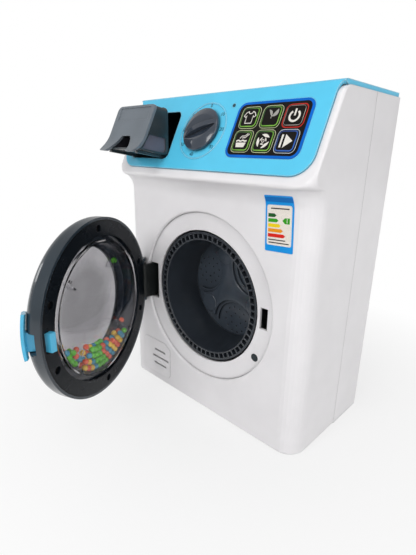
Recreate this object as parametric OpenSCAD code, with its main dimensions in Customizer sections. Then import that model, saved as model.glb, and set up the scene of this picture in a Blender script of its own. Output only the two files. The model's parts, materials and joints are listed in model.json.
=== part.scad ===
// Toy washing machine: moulded cabinet with a flared hood, a round door that holds turning beads,
// a turning drum with a castellated rim, a soap drawer, a dial and six keys.
// The origin is the middle of the cabinet's base, the front faces -Y and Z is up.

/* [Cabinet] */
// Width of the cabinet
body_w = 214; // [210:0.5:222]
// Depth from the plain front face to the back
body_d = 117; // [114:0.5:124]
// Height of the white side walls
body_h = 281; // [278:0.5:290]
// Thickness of the moulded walls
wall = 2.2; // [1.8:0.1:2.6]
// Radius of the upright front corners
corner_r = 16.5; // [13:0.5:19]
// Radius of the upright rear corners
rear_r = 6; // [4:0.5:9]
// Depth from the front face to the line where the two shells part
split_depth = 67.7; // [66:0.1:71]
// Groove between the two shells
part_line = 0.3; // [0.2:0.05:0.4]
// How far the lip of the hood stands in front of the front face
hood_reach = 9.6; // [8:0.2:11.5]
// Radius of the lip of the hood
lip_r = 2.5; // [2.3:0.1:3.2]
// Radius of the hood's lower corners
hood_r = 20; // [17:0.5:22]
// Width of the white band under the control panel
lip_band = 8; // [7:0.5:9]

/* [Control panel] */
// Lean of the sloping panel from upright
tilt = 26; // [24:0.5:28]
// Width of the blue panel
panel_w = 204; // [200:0.5:206]
// Length of the sloping panel
panel_len = 67.4; // [66:0.2:69]
// Radius of the panel's lower corners
panel_r = 16; // [12:0.5:18]
// Thickness of the panel moulding
panel_wall = 2.2; // [1.9:0.1:2.4]
// How far the panel stands above the white rim
panel_proud = 1.2; // [0.9:0.1:1.4]
// Height of the blue deck above the white walls
deck_h = 3.5; // [3:0.1:4.5]
// Radius of the bend between panel and deck
bend_r = 4; // [3.5:0.5:8]
// Distance of the deck's side edge from the cabinet's side
deck_side = 1.3; // [1:0.1:3]
// White strip left behind the deck
deck_margin = 5; // [4:0.5:7]
// Width of the white ledge that carries the panel
ledge = 3; // [2.5:0.1:3.5]

/* [Drum] */
// Height of the drum axis above the base
drum_z = 112; // [110:0.5:115]
// Outer diameter of the castellated rim
drum_d = 119; // [117:0.5:120]
// Inner diameter of the drum's mouth
mouth_d = 104.2; // [102:0.2:105]
// Inner diameter of the drum at its floor
floor_d = 97.4; // [95:0.2:99]
// Depth of the drum from its rim to its floor
drum_depth = 39.4; // [37:0.2:40]
// Distance from the front face back to the drum's rim
drum_inset = 4; // [3.6:0.1:4.6]
// Number of pockets in the rim
pockets = 60; // [48:12:72]
// Thickness of the webs between the pockets
pocket_web = 1.2; // [1:0.1:1.6]
// Inner and outer radius of the pockets
pocket_r = [53.4, 57.7];
// Depth of the pockets
pocket_depth = 5; // [4:0.5:5.5]
// Wall of the drum barrel
barrel_wall = 1.8; // [1.5:0.1:2]
// Thickness of the drum's floor
floor_t = 2; // [1.8:0.1:2.4]
// Height of the three arms on the floor
arm_h = 5; // [4:0.5:6]
// Diameter of the drum shaft
shaft_d = 6; // [5:0.1:7]

/* [Door ring] */
// Diameter of the white ring plate
ring_d = 153.6; // [152.5:0.1:155]
// Diameter of the opening in the ring
opening_d = 122.6; // [122:0.1:124]
// Depth of the recess that the ring lies in
recess_depth = 3; // [2.8:0.1:3.4]
// Thickness of the ring plate
ring_t = 2.5; // [2.2:0.1:2.8]
// Radius of the rounded edge round the recess
recess_lip = 1.5; // [1:0.1:1.8]
// Width and height of the latch slot
latch_slot = [7.4, 18.4];
// Distance of the latch slot from the drum axis
latch_slot_r = 67.5; // [67.2:0.1:67.9]
// Width and height of the hinge pocket, from the hinge arm inwards
hinge_pocket = [11.5, 37];
// Sideways and upward place of the door plunger, from the drum axis
plunger_at = [60.7, -37];
// Diameter of the door plunger
plunger_d = 6.8; // [6:0.1:7.4]

/* [Door] */
// Outer diameter of the door
door_d = 151; // [148:0.5:151]
// Depth of the door from its inner face to its window edge
door_depth = 22.2; // [21:0.2:24]
// Height of the door's upright rim
door_rim = 7; // [5:0.2:8]
// Thickness of the door's outer shell
door_wall = 2.2; // [1.8:0.1:2.4]
// Gap between the closed door and the ring
door_gap = 0.8; // [0.6:0.1:1]
// Diameter of the window in the outer shell
window_d = 100; // [97:0.5:101]
// Diameter of the hole in the door's inner ring
inner_d = 122; // [120.5:0.5:123]
// Thickness of the door's inner ring
inner_t = 2.2; // [1.9:0.1:2.4]
// Inner diameter of the bead bowl's rim
bowl_d = 111.2; // [109:0.2:112]
// Inner depth of the bead bowl
bowl_depth = 11; // [10.6:0.1:11.4]
// Wall of the clear pieces
clear_wall = 1.4; // [1.2:0.1:1.5]
// Diameter of the beads
bead_d = 5; // [4.4:0.1:5]
// Distance of the hinge pin from the drum axis
hinge_x = 81; // [80.9:0.1:82]
// Distance of the hinge pin in front of the front face
hinge_out = 4; // [4:0.1:4.6]
// Diameter of the hinge pin
pin_d = 2.6; // [2.2:0.1:3]
// Diameter of the hinge barrel
barrel_d = 7.4; // [7:0.1:7.4]
// Length of the hinge barrel
barrel_len = 34; // [30:0.5:34]
// Angle by which the door stands open
door_open = 64.6; // [0:0.2:90]

/* [Soap drawer] */
// Distance of the drawer's slot from the cabinet's left side
drawer_side = 14.2; // [13:0.1:16]
// Width of the drawer's slot
drawer_w = 52.8; // [50:0.1:54]
// Lower and upper edge of the slot, measured up the sloping panel
drawer_v = [8.4, 52];
// Upward lean of the way the drawer slides
drawer_rise = 9; // [7:0.5:11]
// How far the drawer stands out
drawer_out = 29.3; // [0:0.1:30]
// Depth of the drawer's tray
tray_depth = 32.1; // [31:0.1:34]
// Length of the two runners under the tray
runner_len = 46; // [44:0.5:50]
// Height of the tray's floor above the slot's lower edge
tray_low = 2.8; // [2.4:0.1:3.2]
// Wall of the drawer
tray_wall = 1.6; // [1.4:0.1:2]
// Gap round the drawer in its sleeve
drawer_gap = 0.5; // [0.4:0.05:0.7]
// Thickness of the drawer's front plate
front_t = 2.4; // [2:0.1:2.8]
// Height at which the front plate starts to curve outwards
plate_knee = 16.8; // [15:0.2:18]
// Radius of that curve
plate_bend = 30.9; // [30:0.1:34]
// Lower and upper width of the finger notch
notch_w = [32, 15];
// Height of the finger notch
notch_h = 14.5; // [12:0.5:16]

/* [Dial and keys] */
// Sideways and upward place of the dial on the panel
dial_at = [-7.4, 33.7];
// Diameter of the dial's knob
knob_d = 36.2; // [34:0.2:38]
// Height of the knob above the panel
knob_h = 7; // [6:0.2:8]
// Angle of the grip at rest
knob_turn = 22; // [0:1:45]
// Diameter of the knob's shaft
knob_shaft_d = 6; // [5:0.1:6.5]
// Side of a square key
key_side = 15.4; // [14.5:0.1:15.8]
// Corner radius of a key
key_r = 3; // [2:0.1:4]
// Distance from key to key, across and up
key_pitch = [19.35, 18.5];
// Middle of the lower left key on the panel
key_first = [38.5, 24.3];
// Travel of a key
key_travel = 1; // [0.6:0.1:1.1]
// Gap round a key in its window
key_gap = 0.3; // [0.2:0.05:0.4]
// Edges of the key field: left, right, bottom, top
field = [24.8, 90.2, 11.8, 55.4];
// Sideways and upward place of the lamp
lamp_at = [18.3, 54];
// Diameter of the lamp
lamp_d = 2.6; // [2:0.1:3]

/* [Drive] */
// Size of a gear tooth
gear_module = 1.25; // [1.2:0.01:1.3]
// Teeth of the drum gear
gear_teeth = 48; // [44:2:50]
// Teeth of the motor pinion
pinion_teeth = 16; // [16:2:18]
// Thickness of the drum gear
gear_t = 5; // [4:0.5:5]
// Play between the teeth
backlash = 0.4; // [0.35:0.05:0.5]
// Diameter of the motor
motor_d = 24; // [22:0.5:25]
// Length of the motor can
motor_len = 25; // [22:0.5:27]

/* [Batteries] */
// Diameter of a battery cell
cell_d = 14.4; // [14:0.1:14.6]
// Length of a battery cell
cell_len = 50.4; // [49.5:0.1:50.6]
// Number of cells
cells = 3; // [2:1:3]
// Height of the middle of the battery box
battery_z = 46; // [44:1:50]

/* [Hidden] */
$fn = 48;

front_y = -body_d / 2;
back_y = body_d / 2;
split_y = front_y + split_depth;
deck_z = body_h + deck_h;
deck_back = back_y - deck_margin;
deck_x = body_w / 2 - deck_side;
widen = deck_x - panel_w / 2;
widen_v = [panel_len - 9.4, panel_len - 1.4];
flare_end = 60;
flare_r = hood_reach / (1 - cos(flare_end)) - lip_r;
panel_low_z = deck_z - panel_len * cos(tilt);
lip_y = front_y - hood_reach + lip_r;
lip_z = panel_low_z - (lip_band - lip_r) * cos(tilt) - (panel_proud + lip_r) * sin(tilt);
panel_low_y = lip_y + (lip_band - lip_r) * sin(tilt) - (panel_proud + lip_r) * cos(tilt);
hood_z = lip_z - (flare_r + lip_r) * sin(flare_end);
hood_squash = 0.83;
edge_r = 2.5;
top_r = 9;
top_y = lip_y + (sin(tilt) * (body_h - top_r - lip_z) - lip_r + top_r) / cos(tilt);

touch = 0.02;
over = 1;
screw_r = 1.3;
screw_head_r = 2.8;
post_r = 4;
post_x = body_w / 2 - 13;
post_z = [14, drum_z + 34, hood_z + 3];
head_depth = 22;

recess_r = ring_d / 2 + 0.2;
ring_back = recess_depth + ring_t;
seat_t = 2;
seat_w = 3;
pillar_r = recess_r + wall + post_r + 1;
pillar_angles = [45, 135, 225, 315];
bulkhead_at = 50;
bulkhead_t = 2.5;

door_r = door_d / 2;
dome_a = door_r - window_d / 2;
dome_b = door_depth - door_rim;
door_screw_r = 67;
door_screw_angles = [90, 159, 201, 270, 338, 22];
notch_x = hinge_x - 9.4;
notch_z = barrel_len / 2 + 1.8;
ear_gap = 0.4;
ear_t = 5;
arm_x = [hinge_x - 8.8, hinge_x - 5.8];
arm_back = 14;
foot_t = 2.5;
foot_h = 28;
pin_up = recess_depth - door_gap + hinge_out;
foot_screw_x = hinge_x + 5;
foot_screw_z = 9;

flange_r = inner_d / 2 + 2;
flange_t = 1.5;
flange_at = inner_t + 0.3;
collar_gap = 0.3;
collar_t = 1.7;
paddle_angles = [41, 131, 221, 311];
paddle_r = [37, 53];
paddle_t = 1.2;
paddle_h = 7;

lever_at = [66.5, 8];
lever_w = 14.5;
lever_span = [-9, 16];
handle_gap = 0.9;
handle_t = 2.6;
tongue_x = [65, 69];
tongue_out = 4;
lug_t = 2.2;
latch_pin_r = 1.2;

slot_w = drawer_w;
slot_mid = -body_w / 2 + drawer_side + drawer_w / 2;
slot_reach = 40;
sleeve_len = 56;
slot_h = (drawer_v[1] - drawer_v[0]) * cos(tilt - drawer_rise);
slot_r = 5;
lean = tilt - drawer_rise;
plate_top = slot_h - drawer_gap;
tray_corner = 4;

overlay_t = 0.8;
overlay_sunk = 0.4;
key_top = 0.9;
key_flange = 1;
key_flange_at = panel_wall + 0.4;
mat_at = 5.7;
board_at = 7.5;
board_t = 1.6;
board_edge = [20, 95, 3.5, 62];

gear_at = 57;
gear_c = gear_module * (gear_teeth + pinion_teeth) / 2;
motor_at = gear_at + gear_t + 3.5;

box_in = 96;
cell_pitch = cell_d + 0.8;
cell_y = front_y + box_in + 1.5 + 0.3 + cell_d / 2;
box_w = cell_len + 6;
box_h = cells * cell_pitch + 1;
door_lap = 4;

// Points of an arc about (cx, cy)
function arc(cx, cy, r, a0, a1, n) =
    [for (i = [0:n]) let (a = a0 + (a1 - a0) * i / n) [cx + r * cos(a), cy + r * sin(a)]];

// Points of a rectangle with round corners about the origin
function round_rect(w, h, r, n = 5) =
    [for (k = [0:3])
        let (sx = k == 0 || k == 3 ? 1 : -1, sy = k < 2 ? 1 : -1)
        each arc(sx * (w / 2 - r), sy * (h / 2 - r), r, 90 * k, 90 * k + 90, n)];

function reverse(list) = [for (i = [len(list) - 1:-1:0]) list[i]];

// Corner radius of the hood at a height v above the lip, measured up the sloping panel
function hood_corner(v) =
    max(edge_r, hood_r - sqrt(max(0, pow(hood_r, 2) - pow(hood_r - min(max(v, 0), hood_r), 2))));

// Rows [y of the front, z, corner across, corner back, half width] from the base to the top
function shell_rows(inset, low, edge = 0) = concat(
    [[front_y + inset + edge, low, corner_r - inset - edge, corner_r - inset - edge,
        body_w / 2 - inset - edge]],
    edge > 0 ? [shell_row(front_y + inset, low + edge, corner_r, 1, inset)] : [],
    [for (i = [0:12]) let (s = i / 12, a = flare_end * s)
        shell_row(front_y - flare_r + (flare_r + inset) * cos(a), hood_z + (flare_r + inset) * sin(a),
            corner_r + (hood_r - corner_r) * s, 1 - (1 - hood_squash) * s, inset)],
    [for (j = [1:6]) let (a = 180 + flare_end - (flare_end + tilt) * j / 6)
        shell_row(lip_y + (lip_r - inset) * cos(a), lip_z + (lip_r - inset) * sin(a),
            hood_corner(lip_r * (1 + sin(a + tilt))), hood_squash, inset)],
    [for (j = [1:8]) let (a0 = acos(1 - lip_r / hood_r), v = hood_r * (1 - cos(a0 + (90 - a0) * j / 8)))
        slope_row(v, inset)],
    [for (j = [0:6]) let (a = 180 - tilt - (90 - tilt) * j / 6)
        shell_row(top_y + (top_r - inset) * cos(a), body_h - top_r + (top_r - inset) * sin(a),
            edge_r, hood_squash, inset)]
);

function shell_row(y, z, r, squash, inset) =
    let (rx = max(r - inset, 0.5)) [y, z, rx, rx * squash, body_w / 2 - inset];

function slope_row(v, inset) = shell_row(
    lip_y - (lip_r - inset) * cos(tilt) + (v - lip_r) * sin(tilt),
    lip_z + (lip_r - inset) * sin(tilt) + (v - lip_r) * cos(tilt),
    hood_corner(v), hood_squash, inset);

// Outline of one row: two quarter ellipses at the front and a straight back
function row_outline(q, back) = let (n = 8) [
    for (i = [0:n]) let (a = 180 + 90 * i / n)
        [q[2] - q[4] + q[2] * cos(a), q[0] + q[3] + q[3] * sin(a), q[1]],
    for (i = [0:n]) let (a = 270 + 90 * i / n)
        [q[4] - q[2] + q[2] * cos(a), q[0] + q[3] + q[3] * sin(a), q[1]],
    [q[4], back, q[1]],
    [-q[4], back, q[1]]
];

// Closed skin over rings that all have n points
module loft(rings) {
    n = len(rings[0]);
    m = len(rings);
    polyhedron(
        points = [for (r = rings) each r],
        faces = concat(
            [[for (i = [0:n - 1]) i]],
            [[for (i = [n - 1:-1:0]) (m - 1) * n + i]],
            [for (k = [0:m - 2], i = [0:n - 1]) let (a = k * n + i, b = k * n + (i + 1) % n) [a, a + n, b]],
            [for (k = [0:m - 2], i = [0:n - 1]) let (a = k * n + i, b = k * n + (i + 1) % n) [b, a + n, b + n]]
        )
    );
}

module shell_form(inset, low, back, edge = 0) {
    loft([for (q = shell_rows(inset, low, edge)) row_outline(q, back)]);
}

// Side line of the white walls as [y, z]
function side_line() = concat(
    [for (q = shell_rows(0, 0)) [q[0], q[1]]],
    [[back_y, body_h], [back_y, 0]]
);

// Local X across, local Y up the slope, local Z out of the sloping panel
module fascia() {
    translate([0, panel_low_y, panel_low_z]) rotate([90 - tilt, 0, 0]) children();
}

// Local Z runs inwards from the front face, on the drum axis, and local Y points down
module inward(x = 0, z = 0, depth = 0) {
    translate([x, front_y + depth, drum_z + z]) rotate([-90, 0, 0]) children();
}

// Local Z runs out of the front face, on the drum axis, and local Y points up
module outward(depth = 0) {
    translate([0, front_y + depth, drum_z]) rotate([90, 0, 0]) children();
}

// The closed door's frame, swung open about the hinge pin: local Z is the door's depth outwards
module on_door() {
    translate([-hinge_x, front_y - hinge_out, 0]) rotate([0, 0, -door_open])
        translate([hinge_x, hinge_out - front_y, 0]) outward(recess_depth - door_gap) children();
}

// Frame of the drawer at its slot: local Y runs inwards along its slide and local Z is up
module on_slide(out = 0) {
    translate([slot_mid, panel_low_y + drawer_v[0] * sin(tilt), panel_low_z + drawer_v[0] * cos(tilt)])
        rotate([-drawer_rise, 0, 0]) translate([0, -out, 0]) children();
}

// Solid swept across the cabinet from an outline given as [y, z]
module across(x0, x1) {
    translate([x0, 0, 0]) rotate([90, 0, 90]) linear_extrude(x1 - x0) children();
}

module tube(r_out, r_in, h) {
    difference() {
        cylinder(h = h, r = r_out);
        translate([0, 0, -over]) cylinder(h = h + 2 * over, r = r_in);
    }
}

// Pan head screw: head on local Z up from 0 and shank below
module screw(shank, head_r = screw_head_r, head_h = 1.8, r = screw_r - touch) {
    difference() {
        cylinder(h = head_h, r = head_r);
        for (a = [0, 90]) rotate([0, 0, a])
            translate([-head_r * 0.6, -0.35, head_h - 0.9]) cube([head_r * 1.2, 0.7, 2]);
    }
    translate([0, 0, -shank]) cylinder(h = shank + touch, r = r);
}

// Round wire wound into one open coil along local Z
module coil(r, wire, turns, pitch, sides = 6, steps = 14) {
    n = turns * steps;
    rings = [for (k = [0:n]) let (a = 360 * k / steps)
        [for (s = [0:sides - 1]) let (b = 360 * s / sides, q = r + wire / 2 * cos(b))
            [q * cos(a), q * sin(a), pitch * k / steps + wire / 2 * sin(b)]]];
    polyhedron(
        points = [for (ring = rings) each ring],
        faces = concat(
            [[for (i = [sides - 1:-1:0]) i]],
            [[for (i = [0:sides - 1]) n * sides + i]],
            [for (k = [0:n - 1], i = [0:sides - 1])
                let (p = k * sides + i, q = k * sides + (i + 1) % sides) [p, q, p + sides]],
            [for (k = [0:n - 1], i = [0:sides - 1])
                let (p = k * sides + i, q = k * sides + (i + 1) % sides) [q, q + sides, p + sides]]
        )
    );
}

function pillar_at(a) = [pillar_r * cos(a), pillar_r * sin(a)];

// Outline of the panel in its own plane: round lower corners, and sides that widen to the deck
function panel_outline(grow) = let (w = panel_w / 2 + grow, r = panel_r + grow) concat(
    arc(-w + r, r - grow, r, 180, 270, 8),
    arc(w - r, r - grow, r, 270, 360, 8),
    [for (a = [0:15:90]) widen_point(w, 1, a)],
    [[w + widen, 3 * panel_len], [-w - widen, 3 * panel_len]],
    [for (a = [90:-15:0]) widen_point(w, -1, a)]
);

function widen_point(w, side, a) =
    [side * (w + widen * (1 - cos(a))), widen_v[0] + (widen_v[1] - widen_v[0]) * sin(a)];

// Line of the panel and deck as [y, z], set in by a distance
function panel_line(inset) =
    let (
        v = (deck_z - bend_r + bend_r * sin(tilt) - panel_low_z) / cos(tilt),
        by = panel_low_y + v * sin(tilt) + bend_r * cos(tilt)
    )
    concat(
        [[panel_low_y + inset * cos(tilt), panel_low_z - inset * sin(tilt)]],
        arc(by, deck_z - bend_r, bend_r - inset, 180 - tilt, 90, 8),
        [[deck_back, deck_z - inset]]
    );

function field_mid() = [(field[0] + field[1]) / 2, (field[2] + field[3]) / 2];

module at_keys() {
    for (row = [0, 1], col = [0:2])
        translate([key_first[0] + col * key_pitch[0], key_first[1] + row * key_pitch[1], 0]) children();
}

module at_board_posts() {
    for (u = [board_edge[0] + 3, board_edge[1] - 3], v = [board_edge[2] + 3, board_edge[3] - 3])
        translate([u, v, 0]) children();
}

module front_shell() color("white") {
    difference() {
        union() {
            difference() {
                shell_form(0, 0, split_y, 1.2);
                shell_form(wall, wall, split_y + over);
                speaker_pad_slots();
            }
            speaker_pad();
            inward(depth = 1.5) recess_collar();
            for (a = pillar_angles)
                inward(pillar_at(a)[0], pillar_at(a)[1], 1) cylinder(h = bulkhead_at - 1, r = post_r);
            for (sx = [-1, 1], z = post_z)
                inward(sx * post_x, z - drum_z, 2.4) cylinder(h = split_depth - 2.4, r = post_r);
            for (sz = [-1, 1])
                inward(-foot_screw_x, sz * foot_screw_z, 1) cylinder(h = arm_back - foot_t - 1, r = 3);
        }
        outward() rotate_extrude($fn = 96) polygon(concat(
            [[0, over], [recess_r + recess_lip, over]],
            arc(recess_r + recess_lip, -recess_lip, recess_lip, 90, 180, 5),
            [[recess_r, -ring_back], [recess_r - seat_w, -ring_back], [recess_r - seat_w, -20], [0, -20]]
        ));
        inward(-arm_x[1] - 0.5, 0, -over) translate([0, -notch_z, 0])
            cube([16, 2 * notch_z, ring_back + seat_t + 2 * over]);
        inward(plunger_at[0], plunger_at[1], ring_back) cylinder(h = 10, r = 6.6);
        for (a = pillar_angles)
            inward(pillar_at(a)[0], pillar_at(a)[1], bulkhead_at - 12) cylinder(h = 20, r = screw_r);
        for (sx = [-1, 1], z = post_z)
            inward(sx * post_x, z - drum_z, split_depth - 14) cylinder(h = 20, r = screw_r);
        for (sz = [-1, 1])
            inward(-foot_screw_x, sz * foot_screw_z, 3) cylinder(h = 20, r = screw_r);
        fascia() translate([0, 0, -panel_wall]) linear_extrude(10) polygon(panel_outline(0.15));
        fascia() translate([0, 0, -panel_wall - wall - 3]) linear_extrude(20) polygon(panel_outline(-ledge));
        translate([-panel_w / 2 + 6, panel_low_y, body_h - wall - over])
            cube([panel_w - 12, split_y - panel_low_y + over, wall + 2 * over]);
    }
}

// Tube behind the front face round the ring, with the seat that the ring lies on
module recess_collar() {
    tube(recess_r + wall, recess_r, ring_back + seat_t - 1.5);
    translate([0, 0, ring_back - 1.5]) tube(recess_r + 0.5, recess_r - seat_w, seat_t);
}

pad_at = [-body_w / 2 + 42, 27.5];
pad_size = [42, 39];
speaker_at = [pad_at[0] + 6, pad_at[1]];
pad_slots = [[pad_at[0] + 5, pad_at[1] + 8, 18], [pad_at[0] + 6, pad_at[1], 26], [pad_at[0] + 5, pad_at[1] - 8, 20]];

module speaker_pad() {
    translate([0, front_y, 0]) rotate([90, 0, 0]) linear_extrude(0.6) difference() {
        translate(pad_at) polygon(round_rect(pad_size[0], pad_size[1], 6));
        translate([0, drum_z]) circle(r = recess_r + 6, $fn = 96);
        for (s = pad_slots) translate([s[0], s[1]]) polygon(round_rect(s[2], 2.2, 1.05, 3));
    }
}

module speaker_pad_slots() {
    for (s = pad_slots) translate([s[0], front_y + wall + over, s[1]]) rotate([90, 0, 0])
        linear_extrude(wall + 2 * over) polygon(round_rect(s[2], 2.2, 1.05, 3));
}

rear_front = split_y + part_line;

// Plan of the rear shell, set in by a distance
function rear_plan(inset) = concat(
    [for (sx = [-1, 1]) [sx * (body_w / 2 - inset), rear_front - (inset > 0 ? over : 0)]],
    arc(body_w / 2 - rear_r, back_y - rear_r, rear_r - inset, 0, 90, 6),
    arc(-body_w / 2 + rear_r, back_y - rear_r, rear_r - inset, 90, 180, 6)
);

module rear_shell() color("white") {
    difference() {
        union() {
            difference() {
                linear_extrude(body_h) polygon(rear_plan(0));
                translate([0, 0, wall]) linear_extrude(body_h - 2 * wall) polygon(rear_plan(wall));
            }
            for (sx = [-1, 1], z = post_z) translate([sx * post_x, rear_front, z]) rotate([-90, 0, 0])
                cylinder(h = back_y - rear_front - over, r = post_r + 1);
            battery_frame();
        }
        for (sx = [-1, 1], z = post_z) translate([sx * post_x, 0, z]) rotate([-90, 0, 0]) {
            cylinder(h = body_d, r = screw_r + 0.4);
            translate([0, 0, back_y - head_depth]) cylinder(h = body_d, r = screw_head_r + 0.5);
        }
        translate([-panel_w / 2 + 6, split_y - over, body_h - wall - over])
            cube([panel_w - 12, deck_back - 6 - split_y + over, wall + 2 * over]);
        translate([0, back_y - 2, battery_z]) rotate([-90, 0, 0])
            linear_extrude(10) polygon(round_rect(box_w + 2 * door_lap + 0.6, box_h + 2 * door_lap + 0.6, 3));
        translate([0, back_y - wall - 3, battery_z]) rotate([-90, 0, 0])
            linear_extrude(10) polygon(round_rect(box_w, box_h, 1));
        translate([0, back_y - 12, battery_z + box_h / 2 + door_lap + 3.5]) rotate([-90, 0, 0])
            cylinder(h = 12, r = screw_r);
        translate([0, back_y - 2, battery_z + box_h / 2 + door_lap + 3.5]) rotate([-90, 0, 0])
            cylinder(h = 10, r = 5.2);
    }
}

// Inner ledge that carries the battery door, with the boss for its screw
module battery_frame() {
    translate([0, back_y - wall - 1.5, battery_z]) rotate([-90, 0, 0])
        linear_extrude(wall) polygon(round_rect(box_w + 2 * door_lap + 4, box_h + 2 * door_lap + 4, 4));
    translate([0, back_y - 13, battery_z + box_h / 2 + door_lap + 3.5]) rotate([-90, 0, 0])
        cylinder(h = 12, r = 5.5);
}

module control_panel() color("skyblue") {
    difference() {
        union() {
            intersection() {
                union() {
                    across(-deck_x - over, deck_x + over)
                        polygon(concat(panel_line(0), reverse(panel_line(panel_wall))));
                    across(-deck_x - over, panel_wall - deck_x) deck_skirt();
                    across(deck_x - panel_wall, deck_x + over) deck_skirt();
                }
                fascia() translate([0, 0, -body_d]) linear_extrude(2 * body_d) polygon(panel_outline(0));
            }
            translate([over - deck_x, deck_back - panel_wall, body_h])
                cube([2 * (deck_x - over), panel_wall, deck_h - 1]);
            fascia() at_board_posts() translate([0, 0, -board_at]) cylinder(h = board_at - 1, r = 2.4);
        }
        fascia() {
            translate([dial_at[0], dial_at[1], -10]) cylinder(h = 20, r = knob_shaft_d / 2 + 0.15);
            translate([lamp_at[0], lamp_at[1], -10]) cylinder(h = 20, r = lamp_d / 2 + 0.05);
            translate([field_mid()[0], field_mid()[1], -overlay_sunk]) linear_extrude(5)
                polygon(round_rect(field[1] - field[0] + 0.1, field[3] - field[2] + 0.1, 7));
            translate([0, 0, -6]) at_keys() linear_extrude(10)
                polygon(round_rect(key_side + 2 * key_gap, key_side + 2 * key_gap, key_r + key_gap));
            translate([0, 0, -board_at - over]) at_board_posts() cylinder(h = board_at - 0.5, r = 1);
        }
        on_slide() slide_hole(0);
    }
}

// Side view of the skirt that fills the room between deck and side wall
module deck_skirt() {
    difference() {
        intersection() {
            polygon(concat(panel_line(0.5), [[deck_back, body_h - top_r]]));
            translate([front_y, body_h - top_r - 5]) square([body_d, top_r + deck_h + 5]);
        }
        polygon(side_line());
    }
}

// Hole along the drawer's slide from y0 to y1, grown by a distance
module slide_hole(grow, y0 = -slot_reach, y1 = slot_reach) {
    translate([0, y1, slot_h / 2]) rotate([90, 0, 0]) linear_extrude(y1 - y0)
        polygon(round_rect(slot_w + 2 * grow, slot_h + 2 * grow, slot_r + grow));
}

module door_ring() color("white") {
    difference() {
        inward(depth = recess_depth) tube(ring_d / 2, opening_d / 2, ring_t, $fn = 96);
        inward(latch_slot_r, 0, recess_depth - over)
            translate([-latch_slot[0] / 2, -latch_slot[1] / 2, 0]) cube([latch_slot[0], latch_slot[1], 10]);
        inward(-arm_x[1] - 8, 0, recess_depth - over) translate([0, -hinge_pocket[1] / 2, 0])
            cube([8 + hinge_pocket[0], hinge_pocket[1], 10]);
        inward(plunger_at[0], plunger_at[1], 0) cylinder(h = 10, r = plunger_d / 2 + 0.1);
    }
}

module hinge_bracket() color("#20242a") {
    z0 = drum_z - barrel_len / 2;
    difference() {
        union() {
            translate([-hinge_x, front_y - hinge_out, z0]) cylinder(h = barrel_len, r = barrel_d / 2);
            translate([0, 0, z0]) linear_extrude(barrel_len) intersection() {
                translate([-hinge_x, front_y - hinge_out]) circle(r = hinge_x - arm_x[0]);
                translate([-hinge_x, front_y - hinge_out - barrel_d / 2]) square([10, barrel_d / 2 + 0.6]);
            }
            translate([-arm_x[1], front_y - hinge_out, z0])
                cube([arm_x[1] - arm_x[0], hinge_out + arm_back, barrel_len]);
            translate([-foot_screw_x - 4.5, front_y + arm_back - foot_t, drum_z - foot_h / 2])
                cube([foot_screw_x + 4.5 - arm_x[1] + touch, foot_t, foot_h]);
        }
        translate([-hinge_x, front_y - hinge_out, z0 - over])
            cylinder(h = barrel_len + 2 * over, r = pin_d / 2 + 0.05);
        for (sz = [-1, 1])
            inward(-foot_screw_x, sz * foot_screw_z, 5) cylinder(h = 20, r = screw_r + 0.2);
    }
}

module hinge_screws() color("silver") {
    for (sz = [-1, 1]) inward(-foot_screw_x, sz * foot_screw_z, arm_back) screw(9);
}

module hinge_pin() color("silver") {
    h = barrel_len + 2 * (ear_gap + ear_t - 1);
    translate([-hinge_x, front_y - hinge_out, drum_z - h / 2]) cylinder(h = h, r = pin_d / 2);
}

// Filled form of the door, set in by a distance
module door_form(inset) {
    rotate_extrude($fn = 96) polygon(concat(
        [[0, 0], [door_r - inset, 0]],
        [for (i = [0:12]) let (a = 90 * i / 12)
            [window_d / 2 + (dome_a - inset) * cos(a), door_rim + (dome_b - inset) * sin(a)]],
        [[0, door_depth - inset]]
    ));
}

module door_outer() color("#3a434d") {
    on_door() difference() {
        union() {
            difference() {
                door_form(0);
                translate([0, 0, -touch]) door_form(door_wall);
                translate([0, 0, door_depth - 5]) cylinder(h = 10, r = window_d / 2, $fn = 96);
            }
            intersection() {
                door_form(0.5);
                union() {
                    for (a = door_screw_angles) rotate([0, 0, a]) translate([door_screw_r, 0, 6])
                        cylinder(h = door_depth, r = 3);
                    translate([0, 0, flange_at + flange_t + 0.3]) tube(flange_r - 0.5, flange_r - 2.2, door_depth);
                    translate([-notch_x, -notch_z - 1.6, inner_t]) cube([1.8, 2 * notch_z + 3.2, door_depth]);
                    for (sy = [-1, 1]) translate([lever_at[0] - 3, sy * (lever_w / 2 + 0.5 + lug_t / 2) - lug_t / 2, 5])
                        cube([12, lug_t, door_depth]);
                }
            }
            for (s = [0, 1]) mirror([0, s, 0]) door_ear();
        }
        hinge_notch();
        for (a = door_screw_angles) rotate([0, 0, a]) translate([door_screw_r, 0, 5])
            cylinder(h = 8, r = screw_r);
        translate([lever_at[0], -lever_w / 2 - 0.5, lever_at[1] - 3]) cube([20, lever_w + 1, 13]);
        translate([lever_at[0], -20, lever_at[1]]) rotate([-90, 0, 0]) cylinder(h = 40, r = latch_pin_r + touch);
        translate([flange_r - 4, -lever_w / 2 - 0.5, flange_at]) cube([10, lever_w + 1, 9]);
    }
}

// Room in the door for the hinge barrel and its arm
module hinge_notch() {
    translate([-door_r - 5, -notch_z, -over]) cube([door_r + 5 - notch_x, 2 * notch_z, pin_up + 4 + over]);
    translate([-hinge_x, -notch_z, pin_up]) rotate([-90, 0, 0]) cylinder(h = 2 * notch_z, r = hinge_x - notch_x);
}

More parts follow.
